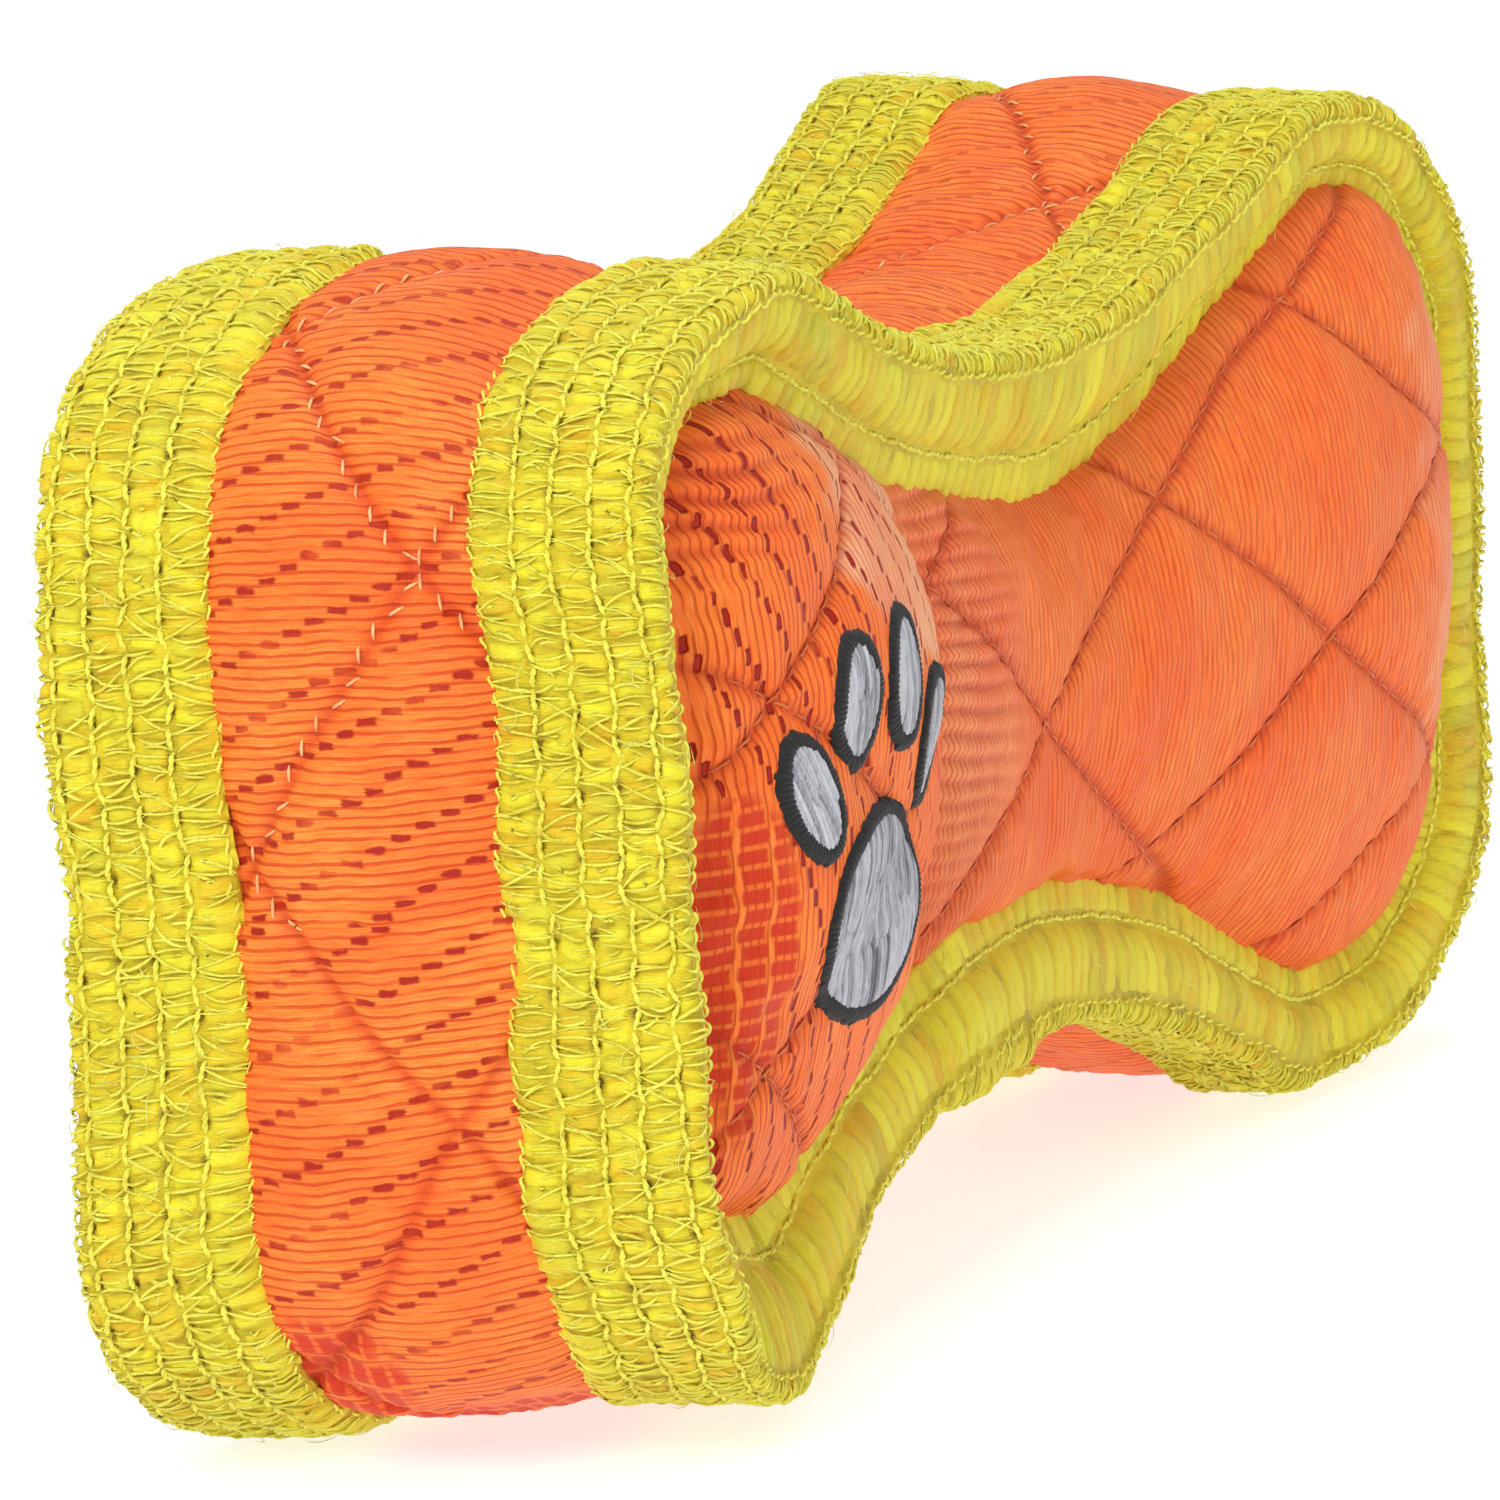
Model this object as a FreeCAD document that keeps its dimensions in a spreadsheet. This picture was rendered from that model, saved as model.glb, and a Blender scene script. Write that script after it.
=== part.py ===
import FreeCAD, Part
import math
import os
import Sketcher
from FreeCAD import Vector

# A stuffed dog-bone bumper: two domed faces joined by a gusset that runs all round the
# bone, both face edges bound in folded webbing, padding and a squeaker inside.
# Frame: X along the length, -Y out of the face with the badge, +Z up as the toy stands on
# its two lower lobes. The origin is at the middle of the footprint.
# "depth" is measured square to the outer outline, inwards; "reach" is |Y|.

doc = FreeCAD.newDocument("bone_bumper")
sheet = doc.addObject("Spreadsheet::Sheet", "Sheet")

DIMENSIONS = [
    # outline of the bone, over the webbing
    ("half_length", 108.0),
    ("half_height", 56.0),
    ("waist_half", 35.0),
    ("corner_radius", 30.0),
    ("shoulder_radius", 20.0),
    ("lobe_flat", 5.0),
    ("end_radius", 450.0),
    # folded webbing over both face edges
    ("webbing", 2.0),
    ("fold_reach", 30.0),
    ("side_leg_reach", 12.5),
    ("face_leg_depth", 14.0),
    ("face_leg_reach", 25.0),
    ("fold_round", 1.8),
    # cloth layers
    ("cloth", 1.5),
    ("lining", 1.2),
    ("layer_gap", 0.15),
    ("gusset_crest_depth", 0.1),
    ("gusset_bulge_reach", 12.3),
    ("gusset_edge_reach", 26.6),
    ("panel_edge_depth", 6.0),
    ("lobe_crest_reach", 37.0),
    ("waist_crest_reach", 32.0),
    ("lobe_crest_x", 64.0),
    # seam threads
    ("thread", 0.7),
    ("thread_groove", 0.8),
    ("side_row_first", 4.2),
    ("side_row_pitch", 3.6),
    ("face_row_depth", 10.0),
    # embroidered badge on the face
    ("badge_x", -66.0),
    ("badge_z", 0.0),
    ("badge_pile", 0.8),
    ("badge_border", 1.5),
    ("pad_half_width", 14.0),
    ("pad_half_height", 10.5),
    ("pad_drop", 9.0),
    ("toe_half_width", 4.8),
    ("toe_half_height", 7.0),
    ("inner_toe_x", 6.0),
    ("inner_toe_z", 12.5),
    ("outer_toe_x", 16.0),
    ("outer_toe_z", 5.0),
    ("inner_toe_lean", 6.0),
    ("outer_toe_lean", 24.0),
    # squeaker
    ("bulb_radius", 15.0),
    ("bulb_wall", 0.9),
    ("neck_radius", 5.0),
    ("neck_end", 20.0),
    ("holder_flange", 1.2),
    ("holder_length", 8.0),
    ("holder_bore", 1.9),
    ("pouch_wall", 0.6),
    ("pouch_room", 0.4),
    ("reed_seat", 3.0),
    ("reed_tongue", 4.0),
    ("reed_width", 4.6),
    ("tongue_width", 2.8),
    ("reed_thickness", 0.25),
    ("fit_room", 0.05),
]

for row, (name, value) in enumerate(DIMENSIONS, start=1):
    sheet.set(f"A{row}", name)
    sheet.set(f"B{row}", str(value))
    sheet.setAlias(f"B{row}", name)
doc.recompute()


def size(name):
    """A driving dimension, in millimetres."""
    return float(sheet.get(name))


def value_of(expression):
    """The number that a sheet expression gives now."""
    result = sheet.evalExpression(expression)
    return float(getattr(result, "Value", result))


def cell(expression):
    """A sketch or placement expression, written with the sheet's aliases."""
    return expression.replace("$", "Sheet.")


def origin_plane(body, role):
    for feature in body.Origin.OriginFeatures:
        if feature.Role == role:
            return feature
    raise ValueError(role)


def new_body(name):
    body = doc.addObject("PartDesign::Body", name)
    body.Label = name
    body.setExpression("Placement.Base.z", "Sheet.half_height")
    return body


def new_sketch(body, name, role):
    sketch = body.newObject("Sketcher::SketchObject", name)
    sketch.AttachmentSupport = [(origin_plane(body, role), "")]
    sketch.MapMode = "FlatFace"
    return sketch


def quarter_outline(depth=0.0):
    """The upper right quarter of the bone's outline at a depth, as tangent edges."""
    end_centre = size("half_length") - size("end_radius")
    corner_z = size("half_height") - size("corner_radius")
    corner_x = end_centre + math.sqrt((size("end_radius") - size("corner_radius")) ** 2 - corner_z ** 2)
    shoulder_x = corner_x - size("lobe_flat")
    shoulder_z = size("half_height") - size("shoulder_radius")
    rise = size("waist_half") - shoulder_z
    waist_radius = (shoulder_x ** 2 + rise ** 2 - size("shoulder_radius") ** 2) / (
        2 * (size("shoulder_radius") - rise)
    )
    waist_z = size("waist_half") + waist_radius
    waist_turn = math.atan2(shoulder_z - waist_z, shoulder_x)
    end_turn = math.atan2(corner_z, corner_x - end_centre)
    top = size("half_height") - depth

    def arc(centre_x, centre_z, radius, start, stop):
        circle = Part.Circle(Vector(centre_x, centre_z, 0), Vector(0, 0, 1), radius)
        return Part.ArcOfCircle(circle, start, stop)

    return [
        arc(0, waist_z, waist_radius + depth, -math.pi / 2, waist_turn),
        arc(shoulder_x, shoulder_z, size("shoulder_radius") - depth, math.pi / 2, waist_turn + math.pi),
        Part.LineSegment(Vector(shoulder_x, top, 0), Vector(corner_x, top, 0)),
        arc(corner_x, corner_z, size("corner_radius") - depth, end_turn, math.pi / 2),
        arc(end_centre, 0, size("end_radius") - depth, 0, end_turn),
    ]


def bind(sketch, kind, targets, expression):
    """Add a dimension to a sketch and bind it to the sheet."""
    formula = cell(expression)
    index = sketch.addConstraint(Sketcher.Constraint(kind, *targets, value_of(formula)))
    sketch.setExpression(f"Constraints[{index}]", formula)


def outline_sketch(body):
    """One quarter of the outline, from the waist's middle to the end's middle."""
    sketch = new_sketch(body, body.Name + "_path", "XZ_Plane")
    waist, shoulder, flat, corner, end = (sketch.addGeometry(edge) for edge in quarter_outline())
    start, stop, centre = 1, 2, 3
    origin, x_axis, z_axis = (-1, 1), -1, -2
    for first, first_point, second, second_point in [
        (waist, stop, shoulder, stop),
        (shoulder, start, flat, start),
        (flat, stop, corner, stop),
        (corner, start, end, stop),
    ]:
        sketch.addConstraint(Sketcher.Constraint("Tangent", first, first_point, second, second_point))
    for geometry, point, axis in [
        (waist, start, z_axis),
        (waist, centre, z_axis),
        (end, start, x_axis),
        (end, centre, x_axis),
    ]:
        sketch.addConstraint(Sketcher.Constraint("PointOnObject", geometry, point, axis))
    sketch.addConstraint(Sketcher.Constraint("Horizontal", flat))
    bind(sketch, "DistanceY", (*origin, waist, start), "$waist_half")
    bind(sketch, "DistanceY", (*origin, flat, start), "$half_height")
    bind(sketch, "DistanceX", (*origin, end, start), "$half_length")
    bind(sketch, "DistanceX", (flat, start, flat, stop), "$lobe_flat")
    bind(sketch, "Radius", (shoulder,), "$shoulder_radius")
    bind(sketch, "Radius", (corner,), "$corner_radius")
    bind(sketch, "Radius", (end,), "$end_radius")
    return sketch


def section_sketch(body, side, corners, arcs=None):
    """A ring's section at the waist's top, from its (reach, depth) corners.

    The corners are joined by lines, or by an arc that crowns outwards where arcs maps
    the index of its first corner to the expression of its radius.
    """
    arcs = arcs or {}
    sketch = new_sketch(body, body.Name + "_section", "YZ_Plane")
    formulas = [(f"{side} * ({reach})", f"$waist_half - ({depth})") for reach, depth in corners]
    points = [Vector(value_of(cell(y)), value_of(cell(z)), 0) for y, z in formulas]
    edges = []
    for index, point in enumerate(points):
        following = points[(index + 1) % len(points)]
        if index in arcs:
            radius = value_of(cell(arcs[index]))
            middle = (point + following) * 0.5
            half_chord = (following - point).Length / 2
            crown = middle + Vector(0, radius - math.sqrt(radius ** 2 - half_chord ** 2), 0)
            geometry = sketch.addGeometry(Part.Arc(point, crown, following))
            clockwise = following.x > point.x
            edges.append((geometry, 2, 1) if clockwise else (geometry, 1, 2))
        else:
            edges.append((sketch.addGeometry(Part.LineSegment(point, following)), 1, 2))
    for index, (geometry, _, last) in enumerate(edges):
        next_geometry, next_first, _ = edges[(index + 1) % len(edges)]
        sketch.addConstraint(Sketcher.Constraint("Coincident", geometry, last, next_geometry, next_first))
    for (geometry, first, _), (y, z) in zip(edges, formulas):
        bind(sketch, "DistanceX", (-1, 1, geometry, first), y)
        bind(sketch, "DistanceY", (-1, 1, geometry, first), z)
    for index, radius in arcs.items():
        bind(sketch, "Radius", (edges[index][0],), radius)
    return sketch


def sweep_all_round(body, section):
    """Sweep a section along one quarter of the outline and mirror it to all four."""
    path = outline_sketch(body)
    pipe = body.newObject("PartDesign::AdditivePipe", body.Name + "_sweep")
    pipe.Profile = section
    pipe.Spine = (path, [])
    quarters = body.newObject("PartDesign::MultiTransform", body.Name + "_all_round")
    quarters.Originals = [pipe]
    mirrors = []
    for role in ("YZ_Plane", "XY_Plane"):
        mirror = body.newObject("PartDesign::Mirrored", f"{body.Name}_{role[:2]}_mirror")
        mirror.MirrorPlane = (origin_plane(body, role), [""])
        mirrors.append(mirror)
    quarters.Transformations = mirrors
    body.Tip = quarters
    return body


# Heights that several sections share, as expressions on the sheet
FACE_SLOPE = "($fold_reach - $face_leg_reach) / ($face_leg_depth - $fold_round)"
UNDER_WEBBING = "$webbing + $layer_gap"
UNDER_CLOTH = "$cloth + $layer_gap"
UNDER_LINING = "$lining + $layer_gap"


def face_leg_at(depth):
    """Reach of the binding's face leg, on its outside, at a depth."""
    return f"$fold_reach - ({depth} - $fold_round) * {FACE_SLOPE}"


def crown_radius(edge_depth, crest_depth):
    """Radius of a gusset layer's crown from its sagitta between the two bindings."""
    rise = f"({edge_depth} - ({crest_depth}))"
    return f"($gusset_bulge_reach^2 + {rise}^2) / (2 * {rise})"


def groove(centre, surface, floor):
    """Three-sided groove for a seam thread, as section corners."""
    low, high = f"{centre} - $thread_groove / 2", f"{centre} + $thread_groove / 2"
    return [(low, surface), (low, floor), (high, floor), (high, surface)]


def side_row(index):
    return f"$side_leg_reach + $side_row_first + {index} * $side_row_pitch"


SIDE_ROWS = 4


def make_binding(name, side):
    """Webbing folded over the face edge: one leg on the gusset, one on the face."""
    body = new_body(name)
    corners = [("$side_leg_reach", "0")]
    for index in range(SIDE_ROWS):
        corners += groove(side_row(index), "0", "$thread_groove")
    corners += [
        ("$fold_reach - $fold_round * 0.9", "0"),
        ("$fold_reach - $fold_round * 0.3", "$fold_round * 0.3"),
        ("$fold_reach", "$fold_round"),
    ]
    before = "($face_row_depth - $thread_groove / 2)"
    after = "($face_row_depth + $thread_groove / 2)"
    corners += [
        (face_leg_at(before), before),
        (f"{face_leg_at(before)} - $thread_groove", before),
        (f"{face_leg_at(after)} - $thread_groove", after),
        (face_leg_at(after), after),
        ("$face_leg_reach", "$face_leg_depth"),
        ("$face_leg_reach - $webbing", "$face_leg_depth"),
        (f"{face_leg_at('$webbing')} - $webbing", "$webbing"),
        ("$side_leg_reach", "$webbing"),
    ]
    return sweep_all_round(body, section_sketch(body, side, corners))


def make_gusset_layer(name, edge_depth, crest_depth, thickness, edge_reach):
    """A cloth strip round the bone, flat under the bindings and crowned between them."""
    body = new_body(name)
    inner_depth = f"({edge_depth} + {thickness})"
    corners = [
        (f"-({edge_reach})", edge_depth),
        ("-$gusset_bulge_reach", edge_depth),
        ("$gusset_bulge_reach", edge_depth),
        (edge_reach, edge_depth),
        (edge_reach, inner_depth),
        ("$gusset_bulge_reach", inner_depth),
        ("-$gusset_bulge_reach", inner_depth),
        (f"-({edge_reach})", inner_depth),
    ]
    radius = crown_radius(edge_depth, crest_depth)
    return sweep_all_round(body, section_sketch(body, 1, corners, {1: radius, 5: radius}))


def make_seam_thread(name, side, reach, depth):
    """A seam's thread, lying in its groove all the way round the binding."""
    body = new_body(name)
    sketch = new_sketch(body, name + "_section", "YZ_Plane")
    y, z = f"{side} * ({reach})", f"$waist_half - ({depth})"
    centre = Vector(value_of(cell(y)), value_of(cell(z)), 0)
    circle = sketch.addGeometry(Part.Circle(centre, Vector(0, 0, 1), size("thread") / 2))
    bind(sketch, "DistanceX", (-1, 1, circle, 3), y)
    bind(sketch, "DistanceY", (-1, 1, circle, 3), z)
    bind(sketch, "Radius", (circle,), "$thread / 2")
    return sweep_all_round(body, sketch)


def make_rim(name, side, drop, thickness):
    """The edge of a face layer, held under the binding's face leg."""
    body = new_body(name)
    outer = f"{face_leg_at('$panel_edge_depth')} - ({drop})"
    inner = f"$face_leg_reach - ({drop})"
    corners = [
        (outer, "$panel_edge_depth"),
        (inner, "$face_leg_depth"),
        (f"{inner} - {thickness}", "$face_leg_depth"),
        (f"{outer} - {thickness}", "$panel_edge_depth"),
    ]
    return sweep_all_round(body, section_sketch(body, side, corners))


def closed_outline(depth, y):
    """Edges of the whole outline at a depth, standing in the plane at y."""
    edges = []
    for flip_x in (False, True):
        for flip_z in (False, True):
            for curve in quarter_outline(depth):
                edge = curve.toShape()
                if flip_x:
                    edge = edge.mirror(Vector(), Vector(1, 0, 0))
                if flip_z:
                    edge = edge.mirror(Vector(), Vector(0, 1, 0))
                edge.rotate(Vector(), Vector(1, 0, 0), 90)
                edge.translate(Vector(0, y, 0))
                edges.append(edge)
    return Part.Wire(Part.__sortEdges__(edges)).Edges


def dome_face(side, drop):
    """The crowned surface of a face inside its binding, lowered by drop towards the middle."""
    rim_reach = size("face_leg_reach") - value_of(cell(UNDER_WEBBING))
    crests = [
        (-size("lobe_crest_x"), size("lobe_crest_reach")),
        (0, size("waist_crest_reach")),
        (size("lobe_crest_x"), size("lobe_crest_reach")),
    ]
    edges = closed_outline(size("face_leg_depth"), side * rim_reach)
    points = [Part.Vertex(x, side * reach, 0) for x, reach in crests]
    face = Part.makeFilledFace(edges + points)
    face.translate(Vector(0, -side * drop, 0))
    return face


def new_solid(name, shape):
    """A sub-part whose shape is worked out here, standing where the bodies stand."""
    feature = doc.addObject("Part::Feature", name)
    feature.Label = name
    feature.Shape = shape
    feature.Placement = FreeCAD.Placement(Vector(0, 0, size("half_height")), FreeCAD.Rotation())
    return feature


def make_face_layer(name, side, layers_over, thickness):
    """A face layer: its crowned middle and the edge under the binding, as one cloth."""
    drop = f"{UNDER_WEBBING}{layers_over}"
    rim = make_rim(name + "_edge", side, drop, thickness)
    cloth_above = value_of(cell(drop)) - value_of(cell(UNDER_WEBBING))
    crown = dome_face(side, cloth_above).extrude(Vector(0, -side * value_of(cell(thickness)), 0))
    middle = new_solid(name + "_middle", crown)
    layer = doc.addObject("Part::MultiFuse", name)
    layer.Label = name
    layer.Shapes = [rim, middle]
    layer.Refine = False
    return layer


def make_fill():
    """The stuffing: one mass that fills the lining, with a hollow for the squeaker."""
    edge_depth = f"({UNDER_WEBBING} + {UNDER_CLOTH} + {UNDER_LINING})"
    drop = f"{UNDER_WEBBING} + {UNDER_CLOTH} + {UNDER_LINING}"
    crest = f"$gusset_crest_depth + {UNDER_CLOTH} + {UNDER_LINING}"
    inner = f"$face_leg_reach - ({drop})"
    outer = f"{face_leg_at(edge_depth)} - ({drop}) - 1"
    edge = new_body("filling_edge")
    corners = [
        (f"-({outer})", edge_depth),
        ("-$gusset_bulge_reach", edge_depth),
        ("$gusset_bulge_reach", edge_depth),
        (outer, edge_depth),
        (inner, "$face_leg_depth"),
        (f"-({inner})", "$face_leg_depth"),
    ]
    radius = crown_radius(edge_depth, crest)
    sweep_all_round(edge, section_sketch(edge, 1, corners, {1: radius}))
    lowered = value_of(cell(drop)) - value_of(cell(UNDER_WEBBING))
    through = 2.5 * size("lobe_crest_reach")
    front = dome_face(-1, lowered).extrude(Vector(0, through, 0))
    back = dome_face(1, lowered).extrude(Vector(0, -through, 0))
    middle = new_solid("filling_middle", front.common(back))
    whole = doc.addObject("Part::MultiFuse", "filling_whole")
    whole.Shapes = [edge, middle]
    whole.Refine = False
    return whole


def oval_prism(centre_x, centre_z, half_width, half_height, lean):
    """An upright oval, leaning over by some degrees, drawn out through the front face."""
    oval = Part.Ellipse(Vector(), max(half_width, half_height), min(half_width, half_height)).toShape()
    if half_height > half_width:
        oval.rotate(Vector(), Vector(0, 0, 1), 90)
    oval.rotate(Vector(), Vector(0, 0, 1), -lean)
    oval.translate(Vector(centre_x, centre_z, 0))
    oval.rotate(Vector(), Vector(1, 0, 0), 90)
    return Part.Face(Part.Wire(oval)).extrude(Vector(0, -1.5 * size("lobe_crest_reach"), 0))


def make_badge():
    """A paw print embroidered on the front: five satin fills, each with its own border."""
    toe = (size("toe_half_width"), size("toe_half_height"))
    inner_x, inner_z = size("inner_toe_x"), size("inner_toe_z")
    outer_x, outer_z = size("outer_toe_x"), size("outer_toe_z")
    inner_lean, outer_lean = size("inner_toe_lean"), size("outer_toe_lean")
    pads = {
        "heel": (0, -size("pad_drop"), size("pad_half_width"), size("pad_half_height"), 0),
        "toe_1": (-outer_x, outer_z, *toe, -outer_lean),
        "toe_2": (-inner_x, inner_z, *toe, -inner_lean),
        "toe_3": (inner_x, inner_z, *toe, inner_lean),
        "toe_4": (outer_x, outer_z, *toe, outer_lean),
    }
    room = size("fit_room")
    pile = dome_face(-1, -room).extrude(Vector(0, -size("badge_pile"), 0))
    for name, (x, z, half_width, half_height, lean) in pads.items():
        x += size("badge_x")
        z += size("badge_z")
        inset = size("badge_border")
        outside = oval_prism(x, z, half_width, half_height, lean)
        inside = oval_prism(x, z, half_width - inset, half_height - inset, lean)
        satin = oval_prism(x, z, half_width - inset - room, half_height - inset - room, lean)
        new_solid(f"badge_{name}_border", one_solid(pile.common(outside).cut(inside)))
        new_solid(f"badge_{name}_fill", one_solid(pile.common(satin)))


def one_solid(shape):
    """The only solid of a boolean's result."""
    if len(shape.Solids) != 1:
        raise RuntimeError("a boolean gave more or less than one solid")
    return shape.Solids[0]


def ball_and_neck(name, radius, neck_radius, neck_end):
    """A ball at the origin with a neck along +X, sized by expressions."""
    ball = doc.addObject("Part::Sphere", name + "_ball_inside")
    ball.setExpression("Radius", cell(radius))
    neck = tube(name + "_neck_inside", neck_radius, "0", neck_end)
    both = doc.addObject("Part::MultiFuse", name)
    both.Shapes = [ball, neck]
    for piece in (ball, neck):
        piece.setExpression("Placement.Base.z", "Sheet.half_height")
    return both


def tube(name, radius, start, stop):
    """A cylinder along +X between two positions, sized by expressions."""
    cylinder = doc.addObject("Part::Cylinder", name)
    cylinder.setExpression("Radius", cell(radius))
    cylinder.setExpression("Height", cell(f"{stop} - ({start})"))
    cylinder.Placement.Rotation = FreeCAD.Rotation(Vector(0, 1, 0), 90)
    cylinder.setExpression("Placement.Base.x", cell(start))
    cylinder.setExpression("Placement.Base.z", "Sheet.half_height")
    return cylinder


def plate(name, start, length, width, thickness):
    """A flat strip along +X, centred on the squeaker's axis, sized by expressions."""
    box = doc.addObject("Part::Box", name)
    box.setExpression("Length", cell(length))
    box.setExpression("Width", cell(width))
    box.setExpression("Height", cell(thickness))
    box.setExpression("Placement.Base.x", cell(start))
    box.setExpression("Placement.Base.y", cell(f"-({width}) / 2"))
    box.setExpression("Placement.Base.z", cell(f"$half_height - ({thickness}) / 2"))
    return box


def cut(name, base, tool):
    result = doc.addObject("Part::Cut", name)
    result.Label = name
    result.Base = base
    result.Tool = tool
    return result


def fuse(name, *pieces):
    result = doc.addObject("Part::MultiFuse", name)
    result.Label = name
    result.Shapes = list(pieces)
    return result


def make_squeaker():
    """Bulb, reed holder, reed and pouch. Returns the hollow that they need in the filling."""
    neck_inner = "$neck_radius - $bulb_wall"
    flange_end = "$neck_end + $holder_flange"
    bulb_outside = ball_and_neck("bulb_outside", "$bulb_radius", "$neck_radius", "$neck_end")
    bulb_inside = ball_and_neck("bulb_inside", "$bulb_radius - $bulb_wall", neck_inner, "$neck_end + 1")
    cut("squeaker_bulb", bulb_outside, bulb_inside)

    stem = tube("holder_stem_inside", f"{neck_inner} - $fit_room", "$neck_end - $holder_length", "$neck_end")
    flange = tube("holder_flange_inside", "$neck_radius", "$neck_end", flange_end)
    bore = tube("holder_air_bore", "$holder_bore", "$neck_end - $holder_length - 1", f"{flange_end} + 1")
    seat = "$neck_end - $reed_seat"
    slot = plate(
        "reed_slot", seat, "$reed_seat + $holder_flange + 1", "$reed_width + 2 * $fit_room",
        "$reed_thickness + 2 * $fit_room",
    )
    passages = fuse("holder_passages_inside", bore, slot)
    cut("squeaker_reed_holder", fuse("holder_body_outside", stem, flange), passages)

    base = plate("reed_base_inside", f"{seat} + $fit_room", "$reed_seat", "$reed_width", "$reed_thickness")
    tongue = plate(
        "reed_tongue_inside", f"{seat} - $reed_tongue", "$reed_tongue + 1", "$tongue_width", "$reed_thickness"
    )
    fuse("squeaker_reed", base, tongue)

    room = "$pouch_room"
    pouch_end = f"{flange_end} + $pouch_room"
    pouch_inside = ball_and_neck("pouch_inside", f"$bulb_radius + {room}", f"$neck_radius + {room}", pouch_end)
    skin = f"{room} + $pouch_wall"
    pouch_outside = ball_and_neck(
        "pouch_outside", f"$bulb_radius + {skin}", f"$neck_radius + {skin}", f"{pouch_end} + $pouch_wall"
    )
    cut("squeaker_pouch", pouch_outside, pouch_inside)

    clear = f"{skin} + $layer_gap"
    return ball_and_neck(
        "filling_pocket", f"$bulb_radius + {clear}", f"$neck_radius + {clear}",
        f"{pouch_end} + $pouch_wall + $layer_gap",
    )


make_binding("front_binding", -1)
make_binding("back_binding", 1)
make_gusset_layer("gusset", UNDER_WEBBING, "$gusset_crest_depth", "$cloth", "$gusset_edge_reach")
make_gusset_layer(
    "gusset_lining",
    f"{UNDER_WEBBING} + {UNDER_CLOTH}",
    f"$gusset_crest_depth + {UNDER_CLOTH}",
    "$lining",
    "$gusset_edge_reach - 1",
)
doc.recompute()

for side, face in ((-1, "front"), (1, "back")):
    for index in range(SIDE_ROWS):
        name = f"{face}_side_seam_thread_{index + 1}"
        make_seam_thread(name, side, side_row(index), "$thread_groove / 2")
    face_row = f"{face_leg_at('$face_row_depth')} - $thread_groove / 2"
    make_seam_thread(f"{face}_face_seam_thread", side, face_row, "$face_row_depth")
    make_face_layer(f"{face}_panel", side, "", "$cloth")
    make_face_layer(f"{face}_panel_lining", side, f" + {UNDER_CLOTH}", "$lining")
make_badge()
pocket = make_squeaker()
filling = doc.addObject("Part::Cut", "filling")
filling.Label = "filling"
filling.Base = make_fill()
filling.Tool = pocket
doc.recompute()

HELPERS = ("_edge", "_middle", "_whole", "_inside", "_outside", "_pocket", "_slot", "_bore")
SOLIDS = ("PartDesign::Body", "Part::Feature", "Part::MultiFuse", "Part::Cut")
sub_parts = [item for item in doc.Objects if item.TypeId in SOLIDS and not item.Label.endswith(HELPERS)]

for item in doc.Objects:
    if "Invalid" in item.State or "Error" in item.State:
        raise RuntimeError(f"{item.Label} failed to build: {item.getStatusString()}")
for item in sub_parts:
    if item.Shape.isNull() or not item.Shape.isValid() or len(item.Shape.Solids) != 1:
        raise RuntimeError(f"{item.Label} is not one sound solid")

os.makedirs("parts", exist_ok=True)
for item in sub_parts:
    item.Shape.exportStep(f"parts/{item.Label}.step")
    print(f"{item.Label}: {item.Shape.Volume:.1f} mm3")
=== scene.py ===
import math

import bpy
import numpy as np
from mathutils import Matrix, Vector
from mathutils.bvhtree import BVHTree


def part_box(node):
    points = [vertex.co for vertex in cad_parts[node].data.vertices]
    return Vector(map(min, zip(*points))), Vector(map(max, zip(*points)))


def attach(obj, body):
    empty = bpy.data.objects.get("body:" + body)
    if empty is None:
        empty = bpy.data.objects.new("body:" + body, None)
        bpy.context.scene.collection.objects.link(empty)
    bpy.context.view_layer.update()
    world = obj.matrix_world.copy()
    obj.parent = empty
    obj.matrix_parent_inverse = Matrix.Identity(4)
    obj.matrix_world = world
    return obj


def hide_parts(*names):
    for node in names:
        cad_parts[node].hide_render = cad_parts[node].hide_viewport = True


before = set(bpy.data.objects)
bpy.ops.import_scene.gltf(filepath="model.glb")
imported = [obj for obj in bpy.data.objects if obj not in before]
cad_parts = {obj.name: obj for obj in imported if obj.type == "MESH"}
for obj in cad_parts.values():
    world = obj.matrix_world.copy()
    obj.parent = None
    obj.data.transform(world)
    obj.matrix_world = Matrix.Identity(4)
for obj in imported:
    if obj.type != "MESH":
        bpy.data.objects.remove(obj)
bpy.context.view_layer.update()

# A stuffed bone-shaped bumper. Shapes are worked out in millimetres about the middle of the
# CAD part, then pulled a little out of true by soften() and set in the CAD frame in metres.
# On the ring: s runs round the outline from the middle of the left end, upwards; y is the
# CAD's Y; depth is square to the outline, inwards. On a binding: t runs over its outer
# surface from the gusset side, round the fold, to the edge on the face. On cloth: a and b
# are its UV. side is -1 at the front and 1 at the back.

MM = 0.001
BINDING_LOW, BINDING_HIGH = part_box("front_binding")
HALF_LENGTH = (BINDING_HIGH.x - BINDING_LOW.x) / 2 / MM
HALF_HEIGHT = (BINDING_HIGH.z - BINDING_LOW.z) / 2 / MM
MIDDLE_Z = (BINDING_HIGH.z + BINDING_LOW.z) / 2 / MM
FOLD_REACH = -BINDING_LOW.y / MM
LEG_REACH = -BINDING_HIGH.y / MM
WAIST_HALF = 35.0
CORNER_RADIUS = 30.0
SHOULDER_RADIUS = 20.0
LOBE_FLAT = 5.0
END_RADIUS = 450.0


def joined(*parts):
    """Arrays side by side along a new last axis."""
    return np.stack(np.broadcast_arrays(*parts), -1)


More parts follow.
